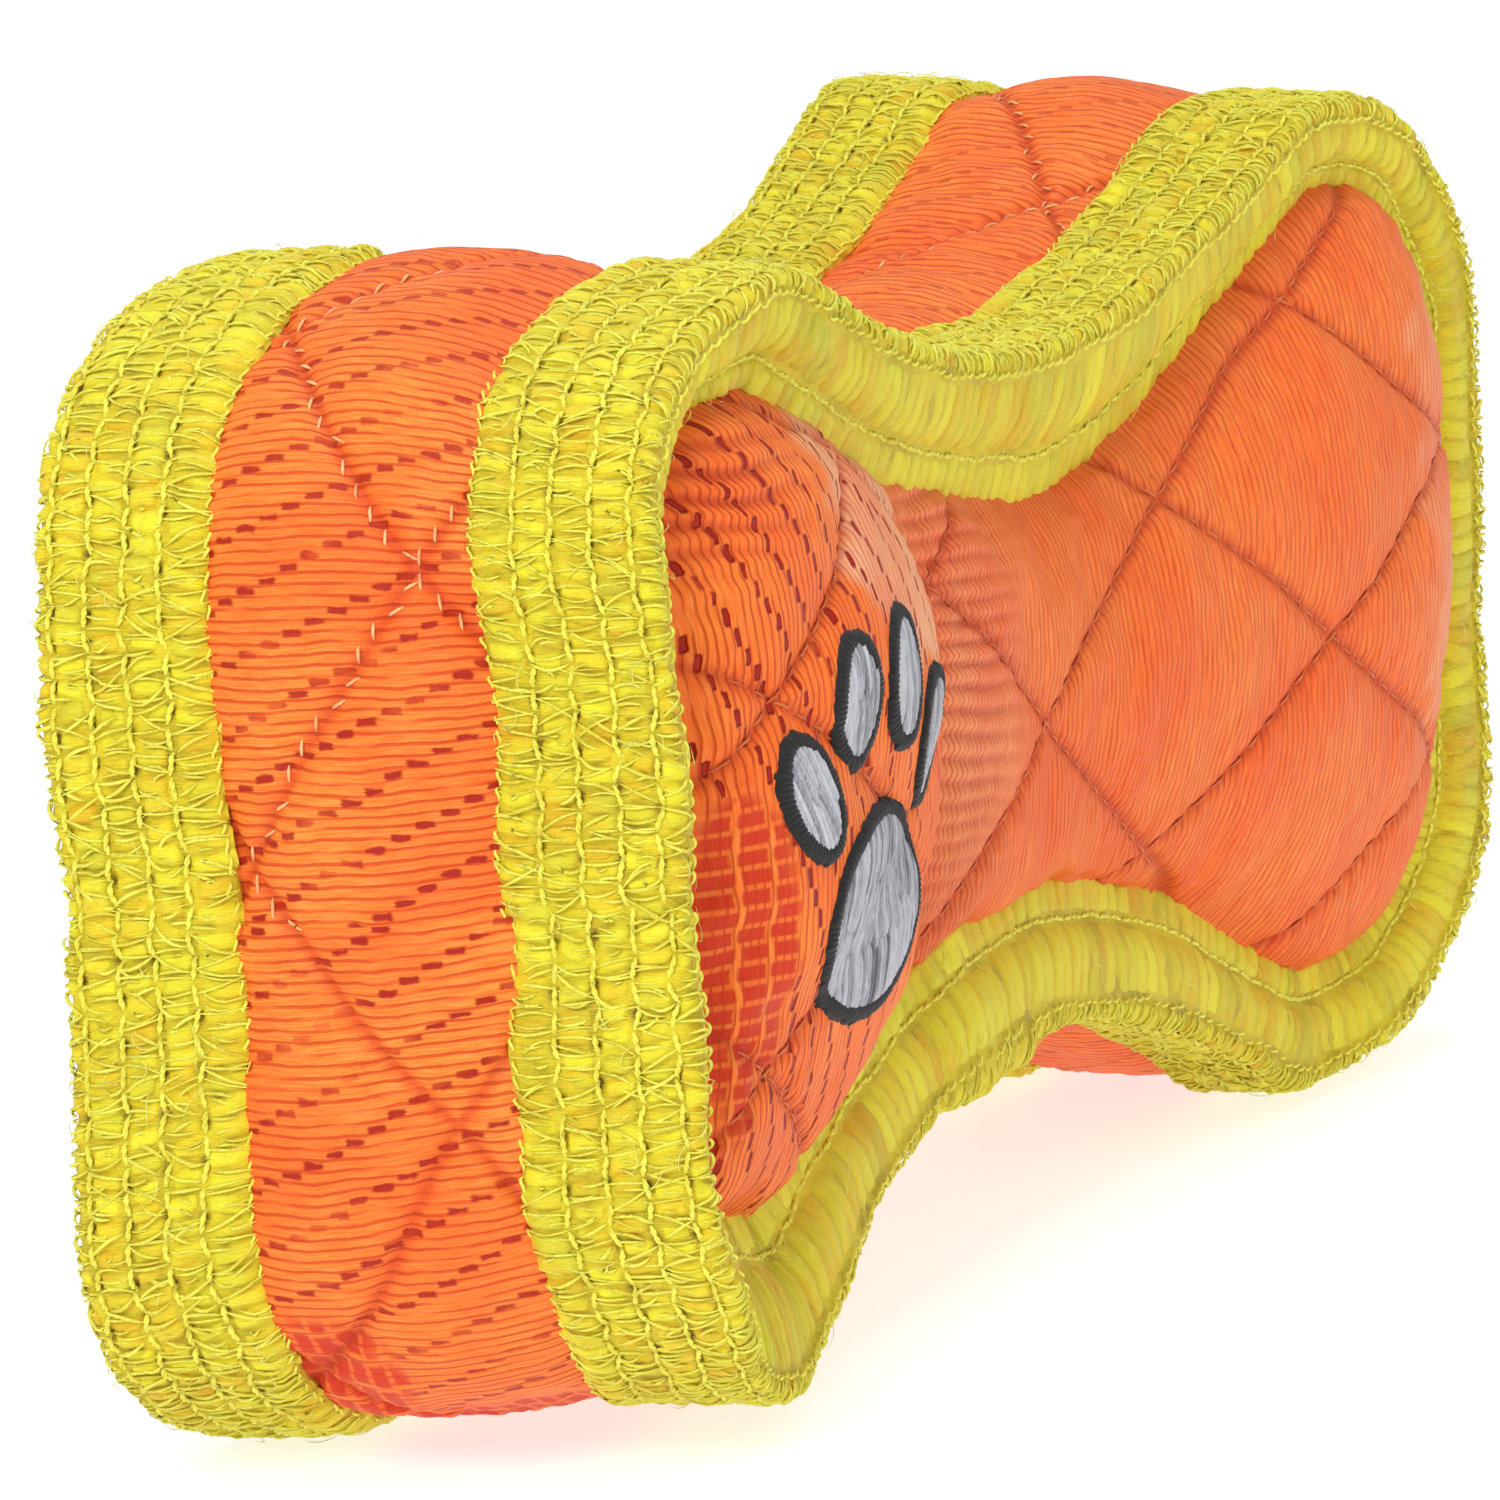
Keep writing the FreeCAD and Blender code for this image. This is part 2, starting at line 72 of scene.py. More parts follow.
def unit(vectors):
    return vectors / (np.linalg.norm(vectors, axis=-1, keepdims=True) + 1e-9)


def clip01(values):
    return np.clip(values, 0, 1)


def bell(*offsets):
    """1 where every offset is 0, falling smoothly to almost 0 where one of them is 2."""
    return np.exp(-sum(np.square(offset) for offset in offsets))


def running_length(points):
    """Distance along a line of points, from its first."""
    return np.concatenate([[0], np.cumsum(np.linalg.norm(np.diff(points, axis=0), axis=1))])


# ---------------------------------------------------------------- shape of the bone


def outline_table(steps=1200):
    """Fine samples of the whole outline: s, and x, z and the outward normal at each."""
    end_x = HALF_LENGTH - END_RADIUS
    corner_z = HALF_HEIGHT - CORNER_RADIUS
    corner_x = end_x + math.sqrt((END_RADIUS - CORNER_RADIUS) ** 2 - corner_z ** 2)
    shoulder_x, shoulder_z = corner_x - LOBE_FLAT, HALF_HEIGHT - SHOULDER_RADIUS
    rise = WAIST_HALF - shoulder_z
    waist_radius = shoulder_x ** 2 + rise ** 2 - SHOULDER_RADIUS ** 2
    waist_radius /= 2 * (SHOULDER_RADIUS - rise)
    waist_z = WAIST_HALF + waist_radius
    end_turn = math.atan2(corner_z, corner_x - end_x)
    waist_turn = math.atan2(shoulder_z - waist_z, shoulder_x)
    shares = np.linspace(0, 1, steps)

    def arc(x, z, radius, start, stop, outwards=1):
        turn = start + (stop - start) * shares
        normal = joined(np.cos(turn), np.sin(turn))
        return np.array([x, z]) + radius * normal, normal * outwards

    parts = [
        arc(end_x, 0, END_RADIUS, 0, end_turn),
        arc(corner_x, corner_z, CORNER_RADIUS, end_turn, math.pi / 2),
        (joined(corner_x - LOBE_FLAT * shares, HALF_HEIGHT), np.tile([0.0, 1.0], (steps, 1))),
        arc(shoulder_x, shoulder_z, SHOULDER_RADIUS, math.pi / 2, waist_turn + math.pi),
        arc(0, waist_z, waist_radius, waist_turn, -math.pi / 2, outwards=-1),
    ]
    quarter = np.hstack([np.vstack(column) for column in zip(*parts)])
    mirrors = [((-1, 1), 1), ((1, 1), -1), ((1, -1), 1), ((-1, -1), -1)]
    table = np.vstack([(quarter * (signs * 2))[::order] for signs, order in mirrors])
    return running_length(table[:, :2]), table


RING_S, RING = outline_table()
AROUND = RING_S[-1]


def on_ring(s, y, depth):
    """Points at s round the outline, at y and depth, as an array of x, y, z."""
    at = np.mod(s, AROUND)
    x, z, nx, nz = (np.interp(at, RING_S, RING[:, column]) for column in range(4))
    size = np.hypot(nx, nz)
    return joined(x - depth * nx / size, y, z - depth * nz / size)


def ring_places(count):
    """Even places round the ring."""
    return np.arange(count) * AROUND / count


# What sewing and stuffing by hand pull out of true: a lattice of three stations along the
# bone, front and back, bottom and top, each with its pull in x, y and z.
PULLS = np.array([
    [[(5.4, -5.2, 3.2), (1.2, -3.9, -2.0)], [(-5.2, -1.0, -3.2), (-0.4, 0.9, -1.8)]],
    [[(-5.5, 10.4, -1.3), (0.7, 0.6, 3.5)], [(-1.5, -3.2, 3.0), (1.9, -1.3, 5.4)]],
    [[(1.1, -1.2, 2.6), (0.2, -2.3, -5.4)], [(1.5, -1.4, -2.2), (2.1, -5.1, -1.2)]],
])

# Smaller pulls at the corners: the place, how far it spreads, and the pull.
TUGS = [
    ((-93.0, 28.0, 54.0), 27.0, (-3.2, 1.8, -2.6)),
    ((-95.0, 28.0, -48.0), 30.0, (-2.0, 1.6, 0.2)),
    ((-88.0, -26.0, 54.0), 26.0, (0.0, 0.0, -5.0)),
    ((84.0, 26.0, 54.0), 34.0, (-6.0, 1.0, -1.4)),
    ((70.0, -26.0, 54.0), 24.0, (0.0, 0.0, -1.8)),
    ((102.0, -28.0, 44.0), 26.0, (1.2, -1.4, -0.4)),
    ((-90.0, -20.0, 50.0), 19.0, (-3.8, 2.1, 0.6)),
    ((-84.0, -20.0, -56.0), 22.0, (0.0, 0.0, 1.7)),
    ((-102.0, -16.0, -18.0), 22.0, (0.0, 1.2, 0.0)),
]


def pulled(p):
    x, y, z = np.moveaxis(p / (HALF_LENGTH, FOLD_REACH, HALF_HEIGHT), -1, 0)
    along = joined(x * (x - 1) / 2, 1 - x * x, x * (x + 1) / 2)
    through = joined((1 - y) / 2, (1 + y) / 2)
    upright = joined((1 - z) / 2, (1 + z) / 2)
    moved = p + np.einsum("...i,...j,...k,ijkd->...d", along, through, upright, PULLS)
    for centre, reach, pull in TUGS:
        away = ((p - np.array(centre)) ** 2).sum(-1)
        moved = moved + np.exp(-away / reach ** 2)[..., None] * np.array(pull)
    return moved


FLOOR_GAP = 0.05
YARN_PROUD = 0.95
ring_s, ring_y = np.meshgrid(np.arange(0, AROUND, 1.0), np.linspace(-FOLD_REACH, FOLD_REACH, 13))
LIFT = FLOOR_GAP - MIDDLE_Z - pulled(on_ring(ring_s, ring_y, -YARN_PROUD))[..., 2].min()


def soften(p):
    """Millimetres about the part's middle to metres in the CAD frame, standing on z = 0."""
    return (pulled(np.asarray(p, float)) + (0, 0, MIDDLE_Z + LIFT)) * MM


def wobble(a, b, wavelength, seed):
    """Smooth noise in about -1 to 1: a sum of plane waves in random directions."""
    rng = np.random.default_rng(seed)
    waves = 7
    total = 0.0
    for _ in range(waves):
        turn, phase = rng.uniform(0, 2 * math.pi, 2)
        number = 2 * math.pi / (wavelength * rng.uniform(0.7, 1.5))
        total = total + np.sin(number * (a * math.cos(turn) + b * math.sin(turn)) + phase)
    return total / math.sqrt(waves) * 0.8


# ---------------------------------------------------------------- meshes


def add_object(name, data):
    made = bpy.data.objects.new(name, data)
    bpy.context.scene.collection.objects.link(made)
    return made


def write(collection, field, values, kind=np.float32):
    collection.foreach_set(field, np.asarray(values, kind).ravel())


def read(collection, field, width, kind=np.float32):
    values = np.zeros(len(collection) * width, kind)
    collection.foreach_get(field, values)
    return values.reshape(-1, width)


def add_mesh(name, points, faces, material, uv=None, layers=None, raw=False):
    """A mesh object from arrays. uv has one row per face corner; layers are per point."""
    mesh = bpy.data.meshes.new(name)
    points = np.asarray(points, float).reshape(-1, 3)
    mesh.vertices.add(len(points))
    write(mesh.vertices, "co", points if raw else soften(points))
    mesh.loops.add(faces.size)
    write(mesh.loops, "vertex_index", faces, np.int32)
    mesh.polygons.add(len(faces))
    write(mesh.polygons, "loop_start", np.arange(0, faces.size, 4), np.int32)
    write(mesh.polygons, "use_smooth", np.ones(len(faces)), bool)
    if uv is not None:
        write(mesh.uv_layers.new(name="cloth").data, "uv", uv)
    for layer, values in (layers or {}).items():
        write(mesh.attributes.new(layer, "FLOAT", "POINT").data, "value", values)
    mesh.update(calc_edges=True)
    mesh.materials.append(material)
    return add_object(name, mesh)


def grid_faces(rows, columns, wrap_rows=False, wrap_columns=False):
    """Quads of a grid of points, rows first, and the (row, column) of each corner, unwrapped."""
    r = np.arange(rows if wrap_rows else rows - 1)
    c = np.arange(columns if wrap_columns else columns - 1)
    r, c = np.meshgrid(r, c, indexing="ij")
    row = joined(r, r + 1, r + 1, r).reshape(-1, 4)
    column = joined(c, c, c + 1, c + 1).reshape(-1, 4)
    return (row % rows) * columns + column % columns, row, column


def outward(points, faces):
    """The quads of a closed shape, turned over if they enclose a negative volume."""
    a, b, c, d = (points[faces[:, corner]] for corner in range(4))
    volume = (a * (np.cross(b, c) + np.cross(c, d))).sum()
    return faces if volume > 0 else faces[:, ::-1]


def many(count, points_each, faces_one):
    """Faces of count copies of one small grid whose points follow each other."""
    return (faces_one[None] + points_each * np.arange(count)[:, None, None]).reshape(-1, 4)


def tubes(paths, radius, sides, closed):
    """Points and quads of round threads along paths: an array (threads, points, 3)."""
    threads, stations, _ = paths.shape
    if closed:
        ahead = unit(np.roll(paths, -1, 1) - np.roll(paths, 1, 1))
        width = np.ones(stations)
    else:
        ahead = unit(np.gradient(paths, axis=1))
        share = np.linspace(0, 1, stations)
        width = np.minimum(1, 0.25 + 3.0 * np.minimum(share, share[::-1]))
    first = unit(np.cross(ahead, [0.31, 0.83, 0.46]))
    second = np.cross(ahead, first)
    turn = np.linspace(0, 2 * math.pi, sides, endpoint=False)[:, None]
    ring = first[:, :, None] * np.cos(turn) + second[:, :, None] * np.sin(turn)
    size = np.broadcast_to(np.asarray(radius, float).reshape(-1, 1), (threads, stations)) * width
    points = paths[:, :, None] + ring * size[:, :, None, None]
    one, _, _ = grid_faces(stations, sides, wrap_rows=closed, wrap_columns=True)
    return points.reshape(-1, 3), many(threads, stations * sides, one[:, ::-1])


# ---------------------------------------------------------------- materials


def rgb(r, g, b):
    """An sRGB colour, 0 to 255, as linear RGBA."""
    parts = (c / 255 for c in (r, g, b))
    linear = (c / 12.92 if c <= 0.04 else ((c + 0.055) / 1.055) ** 2.4 for c in parts)
    return (*linear, 1.0)


class Value:
    """An output of a node, for use in sums."""

    def __init__(self, nodes, socket):
        self.nodes, self.socket = nodes, socket

    def from_middle(self):
        """How far the value is from halfway between two whole numbers."""
        return abs(self.nodes.math("FRACT", self) - 0.5)


def math_node(operation):
    return lambda *values: values[0].nodes.math(operation, *values)


for operator, operation in (
    ("add", "ADD"), ("sub", "SUBTRACT"), ("mul", "MULTIPLY"), ("truediv", "DIVIDE"),
    ("abs", "ABSOLUTE"), ("round", "ROUND"),
):
    setattr(Value, f"__{operator}__", math_node(operation))


class Nodes:
    """Short names for building a node material. Colours are given as sRGB, 0 to 255."""

    def __init__(self, name):
        self.material = bpy.data.materials.new(name)
        self.material.use_nodes = True
        self.tree = self.material.node_tree
        self.tree.nodes.clear()
        output = self.tree.nodes.new("ShaderNodeOutputMaterial")
        self.shader = self.tree.nodes.new("ShaderNodeBsdfPrincipled")
        self.tree.links.new(self.shader.outputs[0], output.inputs[0])

    def put(self, socket, value):
        if isinstance(value, Value):
            self.tree.links.new(value.socket, socket)
        else:
            socket.default_value = rgb(*value) if isinstance(value, tuple) else value

    def node(self, kind, inputs=(), output=0, **settings):
        """An output of a new node. inputs pairs each socket's number or name with its value."""
        made = self.tree.nodes.new("ShaderNode" + kind)
        for setting, value in settings.items():
            setattr(made, setting, value)
        for key, value in dict(inputs).items():
            self.put(made.inputs[key], value)
        return Value(self, made.outputs[output])

    def math(self, operation, *values, clamp=False):
        return self.node("Math", enumerate(values), operation=operation, use_clamp=clamp)

    def ramp(self, value, low, high, start=0.0, stop=1.0):
        """start where value is below low and stop where it is above high."""
        numbers = enumerate((value, low, high, start, stop))
        return self.node("MapRange", numbers, interpolation_type="SMOOTHSTEP")

    def mix(self, share, first, second):
        return self.node("Mix", {0: share, 6: first, 7: second}, 2, data_type="RGBA")

    def attribute(self, name):
        return self.node("Attribute", output="Fac", attribute_name=name)

    def uv(self):
        first = self.node("SeparateXYZ", {0: self.node("UVMap", uv_map="cloth")})
        return first, Value(self, first.socket.node.outputs[1])

    def place(self):
        return self.node("TexCoord", output="Object")

    def noise(self, x, y, scale=1.0, detail=2.0, roughness=0.5):
        """Noise over two values."""
        return self.cloud(self.node("CombineXYZ", {0: x, 1: y}), scale, detail, roughness)

    def cloud(self, vector, scale, detail, roughness=0.5):
        numbers = {"Vector": vector, "Scale": scale, "Detail": detail, "Roughness": roughness}
        return self.node("TexNoise", numbers)

    def bump(self, height, distance, strength=1.0):
        return self.node("Bump", {"Height": height, "Distance": distance, "Strength": strength})

    def finish(self, colour, roughness, normal, **values):
        self.put(self.shader.inputs["Base Color"], colour)
        for name, value in {"Roughness": roughness, "Normal": normal, **values}.items():
            self.put(self.shader.inputs[name.replace("_", " ")], value)
        return self.material


def yarn_material(name, bright, deep, painted_highlight, across=True, shade=None):
    """Glossy filament yarn. Its colour runs from deep to bright with an attribute that is 0 in the
    troughs and 1 on the crowns: on the webbing and the badge it is painted shade in the troughs and
    painted light on the crowns, over a tone that differs at random; on the threads it is only a tone
    that differs at random.
    """
    n = Nodes(name)
    u, v = n.uv()
    finer, coarser = 7.0, 0.6
    if across:
        filaments = n.noise(u * finer, v * coarser, 1.0, 3.0, 0.65)
    else:
        filaments = n.noise(u * coarser, v * finer, 1.0, 3.0, 0.65)
    patches = n.noise(u, v, 0.13, 3.0)
    shade_and_tone = n.attribute("shade_and_tone")
    share = n.math("ADD", shade_and_tone + (filaments - 0.5) * 1.5, (patches - 0.5) * 0.8, clamp=True)
    if shade is not None:
        deep = n.mix(n.ramp(patches, 0.42, 0.62), deep, shade)
    # Painted shade in the troughs, painted light on the crowns.
    colour = n.mix(share, deep, bright)
    # Painted highlight: lighter filaments on the crowns.
    colour = n.mix(n.ramp(filaments, 0.55, 0.8) * (shade_and_tone * 0.5), colour, painted_highlight)
    return n.finish(
        colour, n.ramp(filaments, 0.2, 0.8, 0.62, 0.42), n.bump(filaments, 0.00025, 0.9),
        Sheen_Weight=0.08, Specular_IOR_Level=0.35,
    )


FLOAT_PITCH = 1.12
TICK_APART, TICK_SHIFT, TICK_ROWS = 2.1, 1.05, 6.1
BRICK_HIGH, BRICK_LONG = 1.9, 4.4
# The second and third colours on the next line are a painted pale sheen.
FADED, PAINTED_SHEEN_PALE, PAINTED_SHEEN_LIGHT = (242, 104, 48), (248, 176, 124), (250, 184, 142)
# The last of these reds is painted shade along the quilting grooves and in creases.
GAP_RED, TICK_RED, BRICK_RED, PAINTED_SHADE_RED = (206, 54, 12), (166, 24, 8), (208, 46, 12), (186, 46, 14)


def canvas_material(name, base, light, deep):
    """Quilted canvas on a UV in millimetres: floats with slanting rows of short red ticks."""
    n = Nodes(name)
    a, b = n.uv()
    drift = n.noise(a, b, 0.12) - 0.5
    jitter = n.noise(a * 0.9, b * 0.5)
    a = a + drift * 1.2
    # floats: fine yarns lying along b, with darker gaps between them
    gap = n.ramp((a / FLOAT_PITCH + jitter * 0.2).from_middle(), 0.03, 0.19, 1.0, 0.0)
    gap = gap * n.ramp(n.noise(a * 1.4, b * 0.13, 1.0, 1.0), 0.3, 0.5, 0.25, 1.0)
    fibres = n.noise(a * 5.0, b * 0.3, 1.0, 3.0, 0.6)
    # ticks: short crossings in slanting rows
    b_moved = b + drift * 1.6
    step = round(b_moved / -TICK_APART)
    along = abs(b_moved + step * TICK_APART) + (fibres - 0.5) * 0.6
    shifted = a - step * TICK_SHIFT
    off = abs(shifted - round(shifted / TICK_ROWS) * TICK_ROWS) + (jitter - 0.5) * 0.9
    tick = n.ramp(along, 0.62, 1.02, 1.0, 0.0) * n.ramp(off, 0.16, 0.46, 1.0, 0.0)
    marks = n.attribute("marks")
    tick = tick * n.ramp(n.noise(a, b, 0.09), 0.3, 0.52, 0.4, 1.0) * marks
    # opened weave: bricks of the deep weft between wavy lighter warps
    wave = n.math("SINE", b * 1.65) * 0.06 + jitter * 0.12
    brick = n.ramp((b / BRICK_HIGH).from_middle(), 0.26, 0.42, 1.0, 0.4)
    brick = brick * n.ramp((a / BRICK_LONG + wave).from_middle(), 0.34, 0.46, 1.0, 0.0)
    brick = brick * n.ramp(fibres, 0.3, 0.6, 0.75, 1.0)
    opened, painted_sheen = n.attribute("opened"), n.attribute("painted_sheen")
    mark = n.mix(opened, tick, brick)
    dark = n.math("MAXIMUM", mark, gap * 0.7)
    # Painted sheen: paler, pinker colour where the sheen mask is set.
    faded_and_sheen = n.mix(painted_sheen, n.mix(marks, FADED, base), PAINTED_SHEEN_PALE)
    colour = n.mix(n.ramp(fibres, 0.34, 0.68), faded_and_sheen, n.mix(painted_sheen, light, PAINTED_SHEEN_LIGHT))
    colour = n.mix(n.ramp(n.noise(a, b, 0.045, 3.0), 0.35, 0.7, 0.0, 0.5), colour, deep)
    colour = n.mix(gap * n.ramp(n.attribute("lines"), 0.0, 1.0, 0.2, 0.75), colour, GAP_RED)
    colour = n.mix(mark, colour, n.mix(opened, TICK_RED, BRICK_RED))
    # Painted shade: darker red along the quilting grooves, in creases and in hollows.
    colour = n.mix(n.attribute("painted_seam_shade") * 0.6, colour, PAINTED_SHADE_RED)
    normal = n.bump(fibres * 0.35 - dark * 0.9, 0.00028, 0.9)
    roughness = n.ramp(fibres, 0.2, 0.8, 0.58, 0.42)
    return n.finish(colour, roughness, normal, Sheen_Weight=0.03, Specular_IOR_Level=0.22)


def plain_cloth(name, light, dark, scale=900.0):
    """A plain woven or fibrous cloth, patterned by place."""
    n = Nodes(name)
    fibres = n.cloud(n.place(), scale, 3.0, 0.7)
    colour = n.mix(n.ramp(fibres, 0.3, 0.7), dark, light)
    roughness = n.ramp(fibres, 0.2, 0.8, 0.95, 0.75)
    return n.finish(colour, roughness, n.bump(fibres, 0.0003), Sheen_Weight=0.2)


def moulded(name, light, dark, roughness):
    """Smooth moulded plastic with a faint grain."""
    n = Nodes(name)
    grain = n.cloud(n.place(), 260.0, 3.0, 0.6)
    spread = n.ramp(grain, 0.3, 0.7, roughness - 0.06, roughness + 0.08)
    return n.finish(n.mix(grain, dark, light), spread, n.bump(grain, 0.00005, 0.5))


# Webbing: the deep and shade colours are painted shade low on the bars and between them, the bright
# and last colours painted light and a painted highlight on their crowns; the ground's deep colour is
# painted shade in its grooves and needle holes.
WEBBING_YARN = yarn_material(
    "webbing_yarn", (242, 232, 40), (222, 176, 10), (254, 255, 96), shade=(196, 188, 36),
)
WEBBING_GROUND = yarn_material("webbing_ground", (228, 208, 30), (120, 92, 4), (240, 226, 56))
SEAM_THREAD = yarn_material("seam_thread", (250, 248, 92), (226, 206, 40), (255, 255, 160), False)
FUZZ = yarn_material("webbing_fuzz", (255, 255, 140), (236, 226, 76), (255, 255, 190))
QUILT_THREAD = yarn_material(
    "quilt_thread", (255, 206, 140), (228, 138, 76), (255, 236, 196), False,
)
FACE_QUILT_THREAD = yarn_material(
    "face_quilt_thread", (236, 128, 70), (196, 74, 34), (255, 190, 140), False,
)
CANVAS = canvas_material("quilted_canvas", (255, 116, 34), (255, 146, 62), (246, 84, 24))
# Badge: the deep colours are painted shade at the sides of the stitches and between them, the bright
# ones painted highlights on their crowns.
SATIN = yarn_material("badge_satin", (206, 206, 214), (92, 94, 104), (250, 250, 255))
OUTLINE = yarn_material("badge_outline", (34, 34, 36), (10, 10, 12), (84, 84, 90))
LINING = plain_cloth("lining_cloth", (232, 222, 205), (196, 184, 164))
STUFFING = plain_cloth("stuffing_fibre", (246, 246, 244), (214, 214, 210), 400.0)
POUCH = plain_cloth("pouch_cloth", (240, 236, 226), (205, 200, 190), 1200.0)

# ---------------------------------------------------------------- bindings

FOLD_ROUND = 2.2
FACE_LEG_END = np.array([25.0, 14.0])
FACE_LEG_FROM = np.array([30.0, 1.8])
FACE_WAY = (FACE_LEG_END - FACE_LEG_FROM) / np.linalg.norm(FACE_LEG_END - FACE_LEG_FROM)
FOLD_CORNER = FACE_LEG_FROM[0] - FACE_LEG_FROM[1] * FACE_WAY[0] / FACE_WAY[1]
FOLD_TURN = math.pi - math.atan2(FACE_WAY[1], -FACE_WAY[0])
FOLD_TANGENT = FOLD_ROUND * math.tan(FOLD_TURN / 2)
SIDE_LENGTH = FOLD_CORNER - FOLD_TANGENT - LEG_REACH
FOLD_LENGTH = FOLD_ROUND * FOLD_TURN
FACE_START = np.array([FOLD_CORNER, 0.0]) + FACE_WAY * FOLD_TANGENT
FACE_LENGTH = np.linalg.norm(FACE_LEG_END - FACE_START)
TAPE = SIDE_LENGTH + FOLD_LENGTH + FACE_LENGTH
FACE_ROW_DEPTH = 10.0
ROW_T = [4.2, 7.8, 11.4, 15.0]
FACE_ROW_T = SIDE_LENGTH + FOLD_LENGTH + (FACE_ROW_DEPTH - FACE_START[1]) / FACE_WAY[1]

# Where the sewn edge on the face lies deeper (+) or shallower (-): place, width, change.
LEG_CHANGES = [
    (64.0, 18.0, -4.0), (96.0, 16.0, -1.0), (171.0, 25.0, 5.8), (240.0, 26.0, -3.2),
    (300.0, 34.0, -1.2), (440.0, 22.0, 1.0), (462.0, 40.0, 1.4), (512.0, 14.0, 1.6),
    (532.0, 18.0, 2.8), (553.0, 20.0, 7.0),
]
FAR_END = AROUND / 2
LAP_FROM, LAP_TO, LAP_HEIGHT = 462.0, 485.0, 2.1


def near_place(s, place, width):
    """1 at a place on the ring, falling smoothly to 0 either side."""
    off = np.mod(np.asarray(s, float) - place + AROUND / 2, AROUND) - AROUND / 2
    return bell(off / width)


def leg_stretch(s):
    changes = sum(change * near_place(s, place, width) for place, width, change in LEG_CHANGES)
    return 1 + changes / FACE_LENGTH


def far_swell(s):
    """How far the filling pushes the face leg outwards, mostly at the far end."""
    return 3.2 * near_place(s, FAR_END, 52.0)


def tape_lap(side, s, t):
    """Height of the second layer where the tape's two ends lap on the front binding."""
    if side > 0:
        return 0.0
    ragged = 1.3 * np.sin(t / 2.7)
    start = clip01((s - LAP_FROM - ragged) / 1.4)
    taper = clip01((LAP_TO + 0.6 * ragged - s) / 10.0)
    return LAP_HEIGHT * np.sin(start * taper * math.pi / 2)


def on_binding(side, s, t, height):
    """A point on a binding's outer surface, or height above it, uneven as sewn tape is."""
    s, t, height = np.broadcast_arrays(*(np.asarray(v, float) for v in (s, t, height)))
    turn = np.clip((t - SIDE_LENGTH) / FOLD_ROUND, 0, FOLD_TURN)
    along_leg = np.maximum(t - SIDE_LENGTH - FOLD_LENGTH, 0) / FACE_LENGTH
    past = along_leg * FACE_LENGTH * leg_stretch(s)
    seed = 11 + side
    height = height + tape_lap(side, s, t)
    height = height + 0.34 * wobble(s, 0.7 * t, 21.0, seed) + 0.12 * wobble(s, t, 7.0, seed + 20)
    crowned = np.sin(clip01(along_leg / 0.66) * math.pi) ** 2
    height = height - 0.9 * bell(t / 0.9) + 0.8 * crowned - 0.25 * bell((t - FACE_ROW_T) / 1.1)
    edge = 0.45 * wobble(s, 0, 17.0, seed + 40) * clip01(1 - t / 9)
    round_fold = LEG_REACH + SIDE_LENGTH + FOLD_ROUND * np.sin(turn) + past * FACE_WAY[0]
    reach = np.where(t < SIDE_LENGTH, LEG_REACH + t, round_fold)
    reach = reach + edge + far_swell(s) * along_leg + 0.35 * wobble(s, 0, 30.0, seed + 60)
    depth = FOLD_ROUND * (1 - np.cos(turn)) + past * FACE_WAY[1]
    return on_ring(s, side * (reach + height * np.sin(turn)), depth - height * np.cos(turn))


def leg_end(s, back=0.0, under=0.0):
    """Depth and reach of the tape's edge on the face, or a place back from it and under it."""
    along = 1 - back / FACE_LENGTH
    past = along * FACE_LENGTH * leg_stretch(s)
    reach = FACE_START[0] + past * FACE_WAY[0] + far_swell(s) * along - under
    return FACE_START[1] + past * FACE_WAY[1], reach


BANDS = [
    # first and last t, height of the bars
    (-0.25, 4.0, 0.84),
    (4.4, 7.6, 0.84),
    (8.0, 11.2, 0.82),
    (11.6, 14.8, 0.82),
    (15.2, 18.8, 0.76),
    (19.1, FACE_ROW_T - 0.1, 0.7),
    (FACE_ROW_T + 0.1, TAPE - 0.1, 0.72),
]
SIDE_BANDS = 5
# width over pitch, spread of the heights, and how blunt the ends are
SIDE_BARS = (0.54, (0.8, 1.15), 4)
FACE_BARS = (0.72, (0.92, 1.08), 10)
GROUND = -0.95
TAPE_UNDER = -2.0
PITCH = AROUND / round(AROUND / 2.35)


def holes_along(s, seed):
    """1 at the needle holes along one row, 0.1 between them."""
    rng = np.random.default_rng(seed)
    places = np.cumsum(rng.uniform(3.4, 7.2, 200))
    places = places[places < AROUND]
    gap = np.abs(s[:, None] - places[None]).min(1)
    return 0.1 + 0.9 * bell(gap / 0.6)


def webbing_ground(side, name):
    """The tape itself: a closed strip, sunk a little so that its yarns stand on it."""
    count = 1000
    places = ring_places(count)
    s, t = places[:, None], np.linspace(0, TAPE, 64)
    groove = sum(
        bell((t[None] - row) / 0.45) * holes_along(places, 17 + index)[:, None]
        for index, row in enumerate(ROW_T)
    )
    height = GROUND + 0.42 - 0.6 * groove + 0.08 * wobble(s, t[None], 3.0, 3)
    over = on_binding(side, s, t[None], height)
    under = on_binding(side, s, t[None, ::4][:, ::-1], TAPE_UNDER)
    points = np.concatenate([over, under], 1)
    columns = points.shape[1]
    faces, row, column = grid_faces(count, columns, True, True)
    across = np.concatenate([t, t[::4][::-1], [0.0]])
    uv = joined(row * AROUND / count, across[column])
    groove = np.concatenate([groove, np.zeros((count, columns - len(t)))], 1)
    # Painted shade: the tape is darker in its grooves and needle holes.
    shade_and_tone = 0.9 - 1.1 * groove + 0.2 * wobble(s, np.arange(columns)[None], 9.0, 5)
    faces, uv = faces[:, ::-side], uv[:, ::-side]
    return add_mesh(name, points, faces, WEBBING_GROUND, uv, {"shade_and_tone": shade_and_tone})


